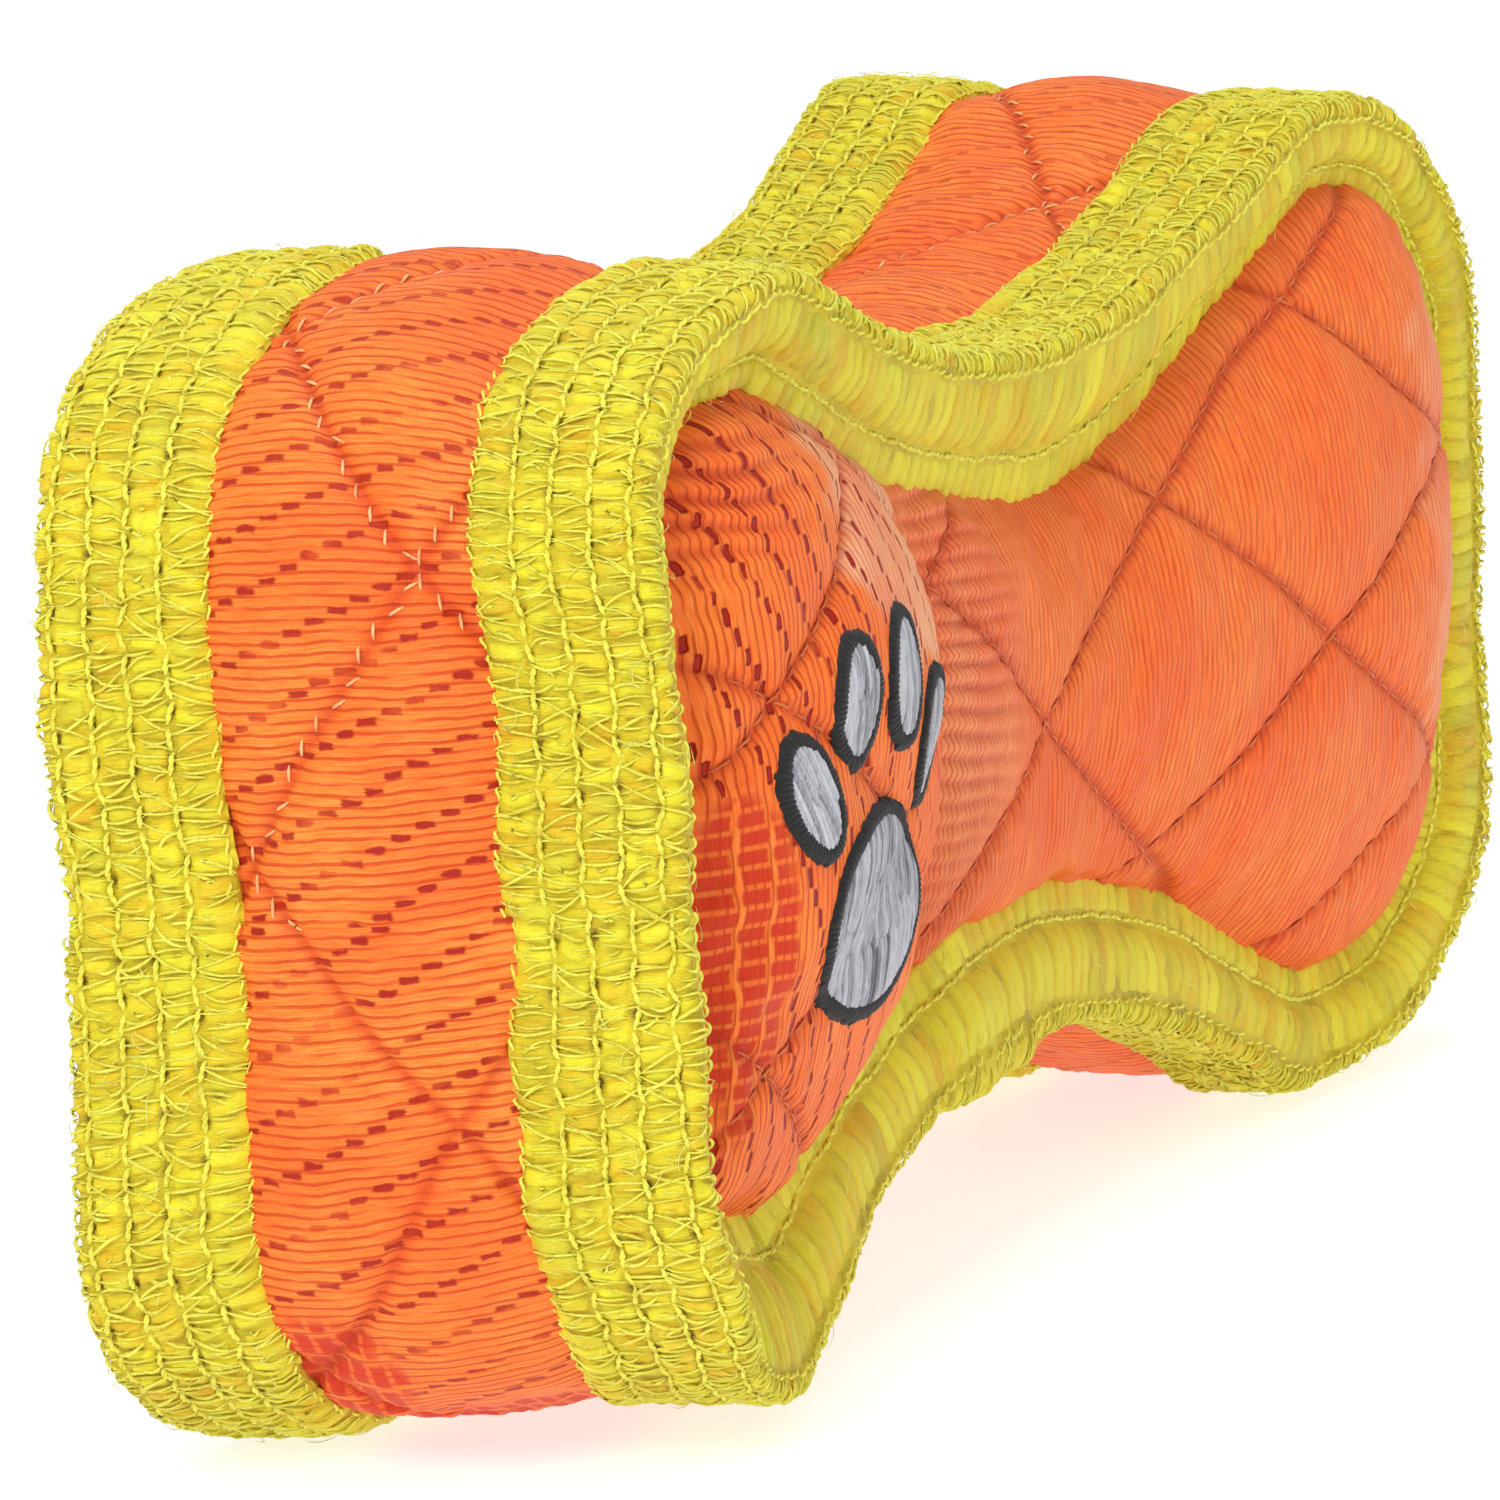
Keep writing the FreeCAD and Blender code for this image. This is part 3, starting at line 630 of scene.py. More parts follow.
def webbing_yarns(side, name, seed):
    """The weft bundles between the columns of stitching: small rounded bars across the tape."""
    rng = np.random.default_rng(seed)
    wide, long = 6, 8
    a = np.sin(np.linspace(-math.pi / 2, math.pi / 2, wide))[:, None]
    b = np.linspace(0, 1, long)[None]
    bulge = 1 - (2 * b - 1) ** 2
    count = round(AROUND / PITCH)
    points, uvs, shades_and_tones = [], [], []
    for band, (start, stop, tall) in enumerate(BANDS):
        width, spread, blunt = SIDE_BARS if band < SIDE_BANDS else FACE_BARS
        centre = (np.arange(count) + rng.uniform(0, 1)) * PITCH
        centre = centre + 0.7 * wobble(centre, 0, 38.0, seed + band) + rng.normal(0, 0.14, count)
        half = PITCH * width * rng.uniform(0.85, 1.15, count)
        high = tall * rng.uniform(*spread, count)
        high = high * (1 + 0.2 * wobble(centre, 0, 30.0, seed + 40 + band))
        lean = rng.normal(0, 0.11, count) + 0.16 * wobble(centre, 0, 55.0, seed + 80 + band)
        bow = rng.normal(0, 0.2, count)
        low_end, high_end = (end + rng.normal(0, 0.14, count) for end in (start, stop))
        each = (centre, high, half, lean, bow, low_end, high_end)
        c, h, w, l, bo, e0, e1 = (v[:, None, None] for v in each)
        t = e0 + (e1 - e0) * b
        plump = np.sqrt(clip01(1 - np.abs(2 * b - 1) ** blunt))
        s = c + w * a * (0.7 + 0.3 * plump) + l * (t - (e0 + e1) / 2) + bo * bulge
        height = GROUND - 0.1 + (h + 0.1) * np.sqrt(clip01(1 - a ** 2)) * plump
        height = height + 0.07 * wobble(s, t, 1.6, seed + 120 + band)
        points.append(on_binding(side, s, t, height).reshape(-1, 3))
        uvs.append(joined(s + 3.1 * band, t).reshape(-1, 2))
        # Painted light and shade: each bar is lighter on its crown and darker at its sides and ends;
        # own is a tone that differs at random.
        crown = clip01(1 - np.abs(a) ** 1.6) * (0.5 + 0.5 * plump)
        own = rng.normal(0, 0.17, count) + 0.2 * wobble(centre, 9 * band, 14.0, seed + 160)
        shades_and_tones.append(np.ravel(0.12 + 0.6 * crown + own[:, None, None]))
    one, _, _ = grid_faces(wide, long)
    faces = many(count * len(BANDS), wide * long, one)[:, ::-side]
    uv, layers = np.concatenate(uvs)[faces.ravel()], {"shade_and_tone": np.concatenate(shades_and_tones)}
    return add_mesh(name, np.concatenate(points), faces, WEBBING_YARN, uv, layers)


def thread_piece(name, paths, radius, material, sides, closed=False, seed=1, level=0.7):
    """Round threads along paths, each with its own tone about level."""
    points, faces = tubes(paths, radius, sides, closed)
    rng = np.random.default_rng(seed)
    shade_and_tone = np.repeat(rng.normal(level, 0.15, len(paths)), len(points) // len(paths))
    shade_and_tone = shade_and_tone + 0.25 * wobble(points[:, 0] + points[:, 1], points[:, 2], 2.2, seed + 7)
    flat = joined(points[:, 0] + points[:, 2], points[:, 1] + points[:, 2] * 0.5)
    return add_mesh(name, points, faces, material, flat[faces.ravel()], {"shade_and_tone": shade_and_tone})


STITCH_LENGTH = 4.9
STRANDS_APART = 0.8
PICOTS = [(19.0, 0.46), (0.1, 0.22)]
PICOT_PITCH = 1.9
FILAMENTS = 420


def seam_row(side, name, t, seed, zigzag=0.2, tall=0.66):
    """One row of two-ply stitching: it dips at each needle hole and swings to and fro."""
    rng = np.random.default_rng(seed)
    stitches = 2 * round(AROUND / STITCH_LENGTH)
    per = 6
    s = ring_places(stitches * per)
    phase = np.arange(stitches * per) / per
    swing = 2 * np.abs(2 * ((phase / 2) % 1) - 1) - 1

    def blended(values):
        return np.interp(phase, np.arange(stitches), values)

    size = zigzag * (1 + 0.6 * blended(rng.normal(0, 1, stitches)))
    rise = np.abs(np.sin(math.pi * phase)) ** 0.5 * blended(rng.uniform(0.75, 1.15, stitches))
    middle = t + size * swing + 0.2 * wobble(s, 0, 11.0, seed)
    paths = []
    for ply in (0, math.pi):
        twist = 2 * math.pi * phase * 1.5 + ply
        height = GROUND + tall * rise + 0.11 * np.sin(twist)
        paths.append(on_binding(side, s, middle + 0.13 * np.cos(twist), height))
    return thread_piece(name, np.array(paths), 0.18, SEAM_THREAD, 5, True, seed)


def strands(side, name, seed):
    """Pale stitches across each band: close to every bar, many slanting, some only part way."""
    rng = np.random.default_rng(seed)
    columns = [-0.3] + ROW_T + [18.9]
    share = np.linspace(0, 1, 6)[None]
    paths = []
    for start, stop in zip(columns[:-1], columns[1:]):
        count = round(AROUND / STRANDS_APART)
        at = (np.arange(count) + rng.uniform(-0.5, 0.5, count)) * AROUND / count
        slant = rng.normal(0, 0.4, count)
        steep = rng.uniform(0, 1, count) < 0.4
        slant[steep] = rng.choice([-1, 1], steep.sum()) * rng.uniform(0.8, 2.8, steep.sum())
        late = np.where(rng.uniform(0, 1, count) < 0.5, rng.uniform(0, 0.5, count), 0)[:, None]
        early = np.where(rng.uniform(0, 1, count) < 0.5, rng.uniform(0.55, 1, count), 1)[:, None]
        part = late + (early - late) * share
        sway = 0.3 * rng.normal(0, 1, count)[:, None] * np.sin(math.pi * share)
        s = at[:, None] + slant[:, None] * (part - 0.5) + sway
        lift = np.where(steep, 0.95, rng.uniform(0.7, 0.92, count))[:, None]
        height = GROUND + lift * np.sin(math.pi * np.clip(share, 0.06, 0.94)) ** 0.3
        paths.append(on_binding(side, s, start + (stop - start) * part, height))
    paths = np.concatenate(paths)
    radius = rng.uniform(0.12, 0.22, len(paths))
    return thread_piece(name, paths, radius, SEAM_THREAD, 4, seed=seed, level=0.65)


def picots(side, name, seed):
    """The edge loops of the tape, which line the fold and the gusset edge."""
    rng = np.random.default_rng(seed)
    paths = []
    for t, tall in PICOTS:
        count = round(AROUND / PICOT_PITCH)
        at = ring_places(count) + rng.normal(0, 0.22, count)
        turn = np.linspace(-0.1, math.pi + 0.1, 9)[None]
        s = at[:, None] - rng.uniform(0.5, 0.9, count)[:, None] * np.cos(turn)
        height = -0.45 + tall * np.sin(turn) * rng.uniform(0.75, 1.15, count)[:, None]
        across = t + 0.18 * np.sin(2 * turn) + rng.normal(0, 0.14, count)[:, None]
        paths.append(on_binding(side, s, across, height))
    return thread_piece(name, np.concatenate(paths), 0.17, SEAM_THREAD, 5, seed=seed, level=0.75)


def fuzz(side, name, seed):
    """Stray filaments that have pulled out of the tape."""
    rng = np.random.default_rng(seed)
    s0, t0 = rng.uniform(0, AROUND, FILAMENTS), rng.uniform(0, TAPE, FILAMENTS)
    way, reach = rng.uniform(0, 2 * math.pi, FILAMENTS), rng.uniform(1.2, 4.2, FILAMENTS)
    share = np.linspace(0, 1, 7)[None]
    turn = way[:, None] + rng.normal(0, 0.9, FILAMENTS)[:, None] * share ** 2
    s = s0[:, None] + reach[:, None] * share * np.cos(turn)
    t = np.clip(t0[:, None] + reach[:, None] * share * np.sin(turn), 0, TAPE)
    rise = rng.uniform(0.2, 0.75, FILAMENTS)[:, None] * np.sin(math.pi * share * 0.8)
    return thread_piece(name, on_binding(side, s, t, rise - 0.15), 0.05, FUZZ, 3, seed=seed, level=0.9)


def settle(piece, slot, *nodes):
    """The piece rides with the part and stands for CAD nodes, which it hides. slot is not used."""
    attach(piece, "root")
    if nodes:
        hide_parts(*nodes)


for side, face, seed in ((-1, "front", 100), (1, "back", 300)):
    settle(webbing_ground(side, f"{face}_webbing"), "webbing", f"{face}_binding")
    settle(webbing_yarns(side, f"{face}_webbing_yarns", seed), "webbing")
    for index, t in enumerate(ROW_T):
        row = seam_row(side, f"{face}_seam_row_{index + 1}", t, seed + 11 + index)
        settle(row, "seam_thread", f"{face}_side_seam_thread_{index + 1}")
    row = seam_row(side, f"{face}_seam_row_5", FACE_ROW_T, seed + 19, 0.08, 0.62)
    settle(row, "seam_thread", f"{face}_face_seam_thread")
    settle(strands(side, f"{face}_cross_stitches", seed + 21), "seam_thread")
    settle(picots(side, f"{face}_edge_loops", seed + 31), "webbing")
    settle(fuzz(side, f"{face}_loose_filaments", seed + 41), "webbing")

# ---------------------------------------------------------------- quilted cloth

QUILT_A, QUILT_B = 58.0, 36.5
FACE_NODE = (2.0, -3.0)
GUSSET_A = AROUND / 11
GUSSET_NODE = (34.5, -7.2)


def line_shift(a, b):
    """How far the quilting lines stray along a."""
    return 0.8 * wobble(a, b, 26.0, 61)


def quilt_lines(a, b, period_a, period_b, node):
    """For each point: distance to the nearest quilting line, and the place along that line."""
    a = a + line_shift(a, b)
    slope = math.hypot(1 / period_a, 1 / period_b)
    distances, places = [], []
    for sign in (1, -1):
        value = (a - node[0]) / period_a + sign * (b - node[1]) / period_b
        distances.append(np.abs(value - np.round(value)) / slope)
        places.append((a / period_b - sign * b / period_a) / slope + 500 * sign)
    nearer = distances[0] < distances[1]
    return np.where(nearer, *distances), np.where(nearer, *places)


SIM_SCALE = 0.01
SIM_FRAMES = 20
SIM_SETTINGS = {
    "vertex_group_mass": "pins", "use_pressure": True, "uniform_pressure_force": 5.0,
    "tension_stiffness": 12.0, "compression_stiffness": 12.0, "shear_stiffness": 4.0,
    "bending_stiffness": 0.3, "shrink_min": -0.025, "quality": 5,
}
SUBDIVISIONS = 2


def finished_mesh(body):
    bpy.context.view_layer.update()
    graph = bpy.context.evaluated_depsgraph_get()
    return bpy.data.meshes.new_from_object(body.evaluated_get(graph))


def inflate(name, points, faces, uv, pinned, cap):
    """Cloth simulation with the pinned points held and no point moved further than cap, then
    subdivided. Returns the points, faces, UV of each face corner and UV of each point."""
    mesh = bpy.data.meshes.new(name)
    mesh.from_pydata((points * SIM_SCALE).tolist(), [], faces.tolist())
    write(mesh.uv_layers.new(name="cloth").data, "uv", uv)
    body = add_object(name, mesh)
    group = body.vertex_groups.new(name="pins")
    for index, weight in enumerate(pinned):
        if weight > 0.02:
            group.add([index], float(weight), "REPLACE")
    cloth = body.modifiers.new("cloth", "CLOTH")
    for setting, value in SIM_SETTINGS.items():
        setattr(cloth.settings, setting, value)
    cloth.settings.effector_weights.gravity = 0.0
    cloth.collision_settings.use_collision = False
    scene = bpy.context.scene
    for index in range(1, SIM_FRAMES + 1):
        scene.frame_set(index)
    made = finished_mesh(body)
    shift = read(made.vertices, "co", 3) / SIM_SCALE - points
    length = np.linalg.norm(shift, axis=1, keepdims=True)
    shift *= np.minimum(1, cap / np.maximum(length, 1e-6))
    write(mesh.vertices, "co", (points + shift) * SIM_SCALE)
    body.modifiers.remove(cloth)
    bpy.data.meshes.remove(made)
    scene.frame_set(1)
    subdivide = body.modifiers.new("subdivide", "SUBSURF")
    subdivide.levels = subdivide.render_levels = SUBDIVISIONS
    subdivide.uv_smooth = "NONE"
    fine = finished_mesh(body)
    fine_points = read(fine.vertices, "co", 3).astype(float) / SIM_SCALE
    corner = read(fine.loops, "vertex_index", 1, np.int32).ravel()
    corner_uv = read(fine.uv_layers[0].data, "uv", 2).astype(float)
    bpy.data.objects.remove(body)
    point_uv = np.zeros((len(fine_points), 2))
    point_uv[corner] = corner_uv
    return fine_points, corner.reshape(-1, 4), corner_uv, point_uv


def point_normals(points, faces):
    a, b, c, d = (points[faces[:, corner]] for corner in range(4))
    normals = np.zeros_like(points)
    for corner in range(4):
        np.add.at(normals, faces[:, corner], np.cross(c - a, d - b))
    return unit(normals)


def stitched(points, faces, ab, periods, node, outside, seed):
    """Sews the quilting in: grooves, puckers square to them, and a hand-sewn unevenness. Also gives a
    mask of painted shade along the grooves and on the puckers beside them.
    """
    a, b = ab.T
    distance, place = quilt_lines(a, b, *periods, node)
    normals = point_normals(points, faces)
    normals = normals * np.sign((normals * outside).sum(1).mean())
    pucker = np.sin(2 * math.pi * place / 2.7 + 2.0 * wobble(a, b, 9.0, seed))
    height = 0.14 * pucker * bell(distance / 2.6) * (1 - bell(distance / 0.5))
    height += 0.22 * wobble(a, b, 17.0, seed + 1) + 0.07 * wobble(a, b, 5.0, seed + 2)
    height -= 0.62 * bell(distance / 0.75)
    # Painted shade along the grooves and on the puckers.
    painted_seam_shade = bell(distance / 0.55) + 0.3 * bell(distance / 2.2) * (0.5 + 0.5 * pucker)
    return points + normals * height[:, None], clip01(painted_seam_shade)


def blob(a, b, centre, radii, seed):
    """A soft patch with a ragged edge, 0 to 1."""
    far = np.hypot((a - centre[0]) / radii[0], (b - centre[1]) / radii[1])
    return clip01((1.0 - far + 0.16 * wobble(a, b, 7.0, seed)) * 4)


# ---- gusset

CLOTH_UNDER = 2.2
BULGE_REACH = 13.2
GUSSET_REACH = 14.4
GUSSET_GRID = (310, 17)


def gusset_depth(s, y):
    """Depth of the stuffed strip: fullest where it faces up or endways, flush where it stands."""
    nx, nz = (np.interp(np.mod(s, AROUND), RING_S, RING[:, column]) for column in (2, 3))
    full = 1 / (1 + np.exp(-(nz / np.hypot(nx, nz) + 0.62) / 0.12))
    ends = 1.5 * near_place(s, 0.0, 42.0) + 0.9 * near_place(s, FAR_END, 42.0)
    crest = CLOTH_UNDER - 0.7 + full * (0.1 + ends)
    return CLOTH_UNDER - crest * (1 - clip01(np.abs(y) / BULGE_REACH) ** 2.3)


def make_gusset():
    count, across = GUSSET_GRID
    across_y = np.linspace(-GUSSET_REACH, GUSSET_REACH, across)
    s, y = np.meshgrid(ring_places(count), across_y, indexing="ij")
    grid = on_ring(s, y, gusset_depth(s, y)).reshape(-1, 3)
    faces, row, column = grid_faces(count, across, wrap_rows=True)
    uv = joined(row * AROUND / count, across_y[column])
    s, y = s.ravel(), y.ravel()
    distance, _ = quilt_lines(s, y, GUSSET_A, QUILT_B, GUSSET_NODE)
    underneath = near_place(s, AROUND - 85, 28) + near_place(s, AROUND / 2 + 85, 28)
    pins = clip01(np.maximum(np.abs(y) > 12.9, 1.3 - distance / 1.2) + 0.8 * underneath)
    points, faces, corner_uv, ab = inflate("gusset_sim", grid, faces, uv, pins, 1.6)
    points, painted_seam_shade = stitched(
        points, faces, ab, (GUSSET_A, QUILT_B), GUSSET_NODE, points * (1, 0, 1), 71,
    )
    a, b = ab.T
    marks = 0.45 + 0.55 * near_place(a, 0.0, 110.0)
    # The first layer is painted shade along the quilting grooves.
    layers = {
        "painted_seam_shade": painted_seam_shade, "marks": marks, "lines": 0.35 + 0.65 * marks,
        "opened": np.maximum(
            blob(a, b, (AROUND - 50, 9.0), (13, 7), 5), blob(a, b, (AROUND - 66, 0.0), (9, 16), 6),
        ),
    }
    return add_mesh("gusset_cloth", points, faces, CANVAS, corner_uv, layers), points, faces


gusset_piece, gusset_points, gusset_faces = make_gusset()
settle(gusset_piece, "quilted_canvas", "gusset")


# ---- faces

EDGE_BACK = 1.5
EDGE_UNDER = 1.1
CREST = 12.6
CREST_POWER = 0.62
CELL = 1.0
FACE_GRID = (92, 44)
EDGE_PLACES = np.linspace(0, AROUND, 400, endpoint=False)
EDGE_DEPTH, EDGE_REACH = leg_end(EDGE_PLACES, EDGE_BACK, EDGE_UNDER)
EDGE = on_ring(EDGE_PLACES, 0.0, EDGE_DEPTH)[:, [0, 2]]


def nearest_on_edge(x, z):
    """Distance from the edge of the face cloth, and the reach of the tape's edge nearest by."""
    far, near = np.empty(x.size), np.empty(x.size)
    flat_x, flat_z = x.ravel(), z.ravel()
    at_once = 20000
    for start in range(0, x.size, at_once):
        part = slice(start, start + at_once)
        gap = np.hypot(flat_x[part, None] - EDGE[None, :, 0], flat_z[part, None] - EDGE[None, :, 1])
        far[part] = gap.min(1)
        weight = 1 / (gap + 1.0) ** 4
        near[part] = (weight * EDGE_REACH).sum(1) / weight.sum(1)
    return far.reshape(x.shape), near.reshape(x.shape)


def inside_face(x, z):
    """Whether x, z lies within the face cloth's edge."""
    x, z = x[:, None], z[:, None]
    (edge_x, edge_z), (next_x, next_z) = EDGE.T[:, None], np.roll(EDGE, -1, 0).T[:, None]
    crossing = (edge_z > z) != (next_z > z)
    at = edge_x + (z - edge_z) / (next_z - edge_z + 1e-12) * (next_x - edge_x)
    return (crossing & (x < at)).sum(1) % 2 == 1


def dome_table():
    """Height of an evenly filled face over a regular grid of x and z, 0 at its edge to 1."""
    x = np.arange(-HALF_LENGTH, HALF_LENGTH + CELL, CELL)
    z = np.arange(-HALF_HEIGHT, HALF_HEIGHT + CELL, CELL)
    xx, zz = np.meshgrid(x, z, indexing="ij")
    inside = inside_face(xx.ravel(), zz.ravel()).reshape(xx.shape)
    height = np.zeros(xx.shape)
    rounds = 5000
    for _ in range(rounds):
        around = height[:-2, 1:-1] + height[2:, 1:-1] + height[1:-1, :-2] + height[1:-1, 2:]
        height[1:-1, 1:-1] = np.where(inside[1:-1, 1:-1], around / 4 + 0.25, 0)
    return x, z, height / height.max()


DOME_X, DOME_Z, DOME = dome_table()


def dome(x, z):
    """The dome's height at x, z, blended between the four cells round it."""
    column = np.clip((x - DOME_X[0]) / CELL, 0, len(DOME_X) - 1.001)
    row = np.clip((z - DOME_Z[0]) / CELL, 0, len(DOME_Z) - 1.001)
    i, j = column.astype(int), row.astype(int)
    u, v = column - i, row - j
    low = DOME[i, j] * (1 - u) + DOME[i + 1, j] * u
    high = DOME[i, j + 1] * (1 - u) + DOME[i + 1, j + 1] * u
    return low * (1 - v) + high * v


def face_reach(x, z):
    """|y| of a face: a filled dome, drawn in at the waist."""
    far, edge = nearest_on_edge(x, z)
    waist = 5.8 * bell((x + 30) / 10.5) + 3.4 * bell((x - 2) / 26)
    rise = CREST * dome(x, z) ** CREST_POWER - waist * dome(x, z) ** 0.5
    return edge + rise * clip01(far / 1.5)


def reach_at(tree, side, x, z):
    """|y| of a surface seen from outside the face, at each x and z."""
    outside, missing = 80.0, 22.0
    out = np.empty(x.size)
    for index, (px, pz) in enumerate(zip(x.ravel(), z.ravel())):
        hit = tree.ray_cast(Vector((px, side * outside, pz)), Vector((0, -side, 0)))[0]
        out[index] = abs(hit.y) if hit is not None else missing
    return out.reshape(x.shape)


def side_of_outline(start, stop, count):
    """Places along one stretch of the face cloth's edge."""
    s = np.linspace(start, stop, count)
    return on_ring(s, 0.0, leg_end(s, EDGE_BACK)[0])[:, [0, 2]]


def face_grid():
    """A smooth grid of x and z over the whole face, from the four stretches of its edge."""
    across, up = FACE_GRID
    corner = 54.5
    left = side_of_outline(-corner, corner, up)
    top = side_of_outline(corner, AROUND / 2 - corner, across)
    right = side_of_outline(AROUND / 2 + corner, AROUND / 2 - corner, up)
    bottom = side_of_outline(AROUND - corner, AROUND / 2 + corner, across)
    u = np.linspace(0, 1, across)[:, None, None]
    v = np.linspace(0, 1, up)[None, :, None]
    ruled = (1 - v) * bottom[:, None] + v * top[:, None] + (1 - u) * left[None] + u * right[None]
    left_corners = (1 - v) * left[0] + v * left[-1]
    right_corners = (1 - v) * right[0] + v * right[-1]
    return np.moveaxis(ruled - (1 - u) * left_corners - u * right_corners, -1, 0)


def make_face(side, face, seed):
    x, z = face_grid()
    grid = joined(x, side * face_reach(x, z), z).reshape(-1, 3)
    faces = grid_faces(*FACE_GRID)[0][:, ::-side]
    flat = joined(x, z).reshape(-1, 2)
    distance, _ = quilt_lines(flat[:, 0], flat[:, 1], QUILT_A, QUILT_B, FACE_NODE)
    rim = np.ones(FACE_GRID)
    rim[1:-1, 1:-1] = 0
    pins = np.maximum(rim.ravel(), clip01(1.3 - distance / 1.3))
    uv = flat[faces.ravel()]
    points, faces, corner_uv, ab = inflate(f"{face}_sim", grid, faces, uv, pins, 2.6)
    points, painted_seam_shade = stitched(
        points, faces, ab, (QUILT_A, QUILT_B), FACE_NODE, (0.0, side, 0.0), seed,
    )
    a, b = ab.T
    edge, _ = nearest_on_edge(a, b)
    free = clip01(edge / 1.6)
    # gathers at the edge of the cloth, square to the binding
    around = np.arctan2(b, np.abs(a) - 60) * 24
    gather = bell(edge / 5.0) * (0.15 + 0.35 * np.clip(np.abs(a) - 50, 0, 30) / 30)
    fold = np.sin(2 * math.pi * around / 4.3 + 2.5 * wobble(a, b, 14.0, seed + 9))
    # wrinkles along x under the near top corner
    corner = bell((a + 88) / 13, (b - 39) / 8)
    wrinkle = np.sin(2 * math.pi * (b + 0.3 * a + 0.9 * wobble(a, b, 12.0, seed + 14)) / 3.1)
    # ribs along x where the cloth is drawn in at the waist
    ribbed = bell((a + 24) / 14, (b - 7) / 22)
    rib = np.sin(2 * math.pi * (b + 0.12 * a + 0.5 * wobble(a, b, 20.0, seed + 10)) / 2.1)
    relief = (0.38 * gather * fold + 0.4 * corner * wrinkle) * free + 0.38 * ribbed * rib
    points[:, 1] += side * relief
    # Painted shade: darker in the waist hollow, in the troughs of the gathers and the corner wrinkles,
    # and in the troughs of the waist ribs.
    painted_hollow_shade = 0.55 * bell((a + 26) / 13, (b + 17) / 14)
    painted_crease_shade = 0.35 * gather * clip01(0.3 - fold) + 1.1 * corner * clip01(0.3 - wrinkle)
    marks = np.full(len(a), 0.75)
    if side < 0:
        marks = np.clip(1.9 - (a + 80) / 36, 0.12, 1.9) * (1 - 0.75 * ribbed)
    # Painted sheen: pale patches high on the near lobe and along the far end, and over the ribbed
    # waist.
    painted_sheen = blob(a, b, (-52.0, 30.0), (17, 22), 12) + 0.45 * blob(a, b, (91.0, 8.0), (13, 36), 13)
    layers = {
        "painted_seam_shade": clip01(painted_seam_shade + painted_crease_shade + painted_hollow_shade + 0.8 * ribbed * clip01(-rib)),
        "opened": np.maximum(
            blob(a, b, (-91.0, -9.0), (8.0, 19.0), 7), 0.6 * blob(a, b, (-38.0, -30.0), (7, 7), 9),
        ),
        "marks": marks,
        "lines": np.clip(0.7 - (a + 80) / 60, 0.25, 0.7),
        "painted_sheen": clip01(painted_sheen + 0.5 * ribbed),
    }
    uv = corner_uv * (1.3, 1.0)
    return add_mesh(f"{face}_face_cloth", points, faces, CANVAS, uv, layers), points, faces


surfaces = {}
for side, face, seed in ((-1, "front", 500), (1, "back", 700)):
    piece, *surfaces[face] = make_face(side, face, seed)
    settle(piece, "quilted_canvas", f"{face}_panel")


# ---- quilting thread

STITCH_SHARE = np.linspace(0, 1, 7)
FACE_STITCH, FACE_GAP = 2.3, 1.0
GUSSET_STITCH, GUSSET_GAP, GUSSET_THREAD = 1.7, 1.1, 1.9
GUSSET_SLANT = 0.45


def quilt_segments(box, period_a, node, stitch, gap):
    """Starts and ways of the stitches along both families of lines inside a box of a and b."""
    out = []
    slope = math.hypot(1 / period_a, 1 / QUILT_B)
    for sign in (1, -1):
        normal = np.array([1 / period_a, sign / QUILT_B]) / slope
        way = np.array([normal[1], -normal[0]])
        for k in range(-12, 13):
            places = np.arange(-400, 400, stitch + gap)
            starts = np.array(node) + normal * k / slope + way * places[:, None]
            inside = ((starts > box[0]) & (starts < box[1])).all(1)
            out += [(start, way) for start in starts[inside]]
    starts, ways = (np.array(column) for column in zip(*out))
    return starts, ways


def surface_tree(points, faces):
    return BVHTree.FromPolygons(points.tolist(), faces.tolist())


def face_stitches(side, face, seed):
    tree = surface_tree(*surfaces[face])
    starts, ways = quilt_segments(((-96, -48), (96, 48)), QUILT_A, FACE_NODE, FACE_STITCH, FACE_GAP)
    keep = inside_face(*starts.T) & (nearest_on_edge(*starts.T)[0] > 2.5)
    starts, ways = starts[keep], ways[keep]
    starts[:, 0] -= line_shift(*starts.T)
    places = starts[:, None] + ways[:, None] * STITCH_SHARE[None, :, None] * FACE_STITCH
    x, z = np.moveaxis(places, -1, 0)
    lift = -0.1 + 0.28 * np.sin(math.pi * STITCH_SHARE) ** 0.6
    paths = joined(x, side * (reach_at(tree, side, x, z) + lift), z)
    return thread_piece(f"{face}_quilt_stitches", paths, 0.16, FACE_QUILT_THREAD, 5, seed=seed)


def ring_cast(tree, s, y):
    """Depth of the gusset's surface at s and y."""
    outside, missing = 6.0, 2.0
    outer, inner = (on_ring(s, y, depth).reshape(-1, 3) for depth in (-outside, 0.0))
    out = np.empty(s.size)
    for index, (start, way) in enumerate(zip(outer, inner - outer)):
        hit = tree.ray_cast(Vector(start), Vector(way).normalized())
        out[index] = hit[3] - outside if hit[0] is not None else missing
    return out.reshape(s.shape)


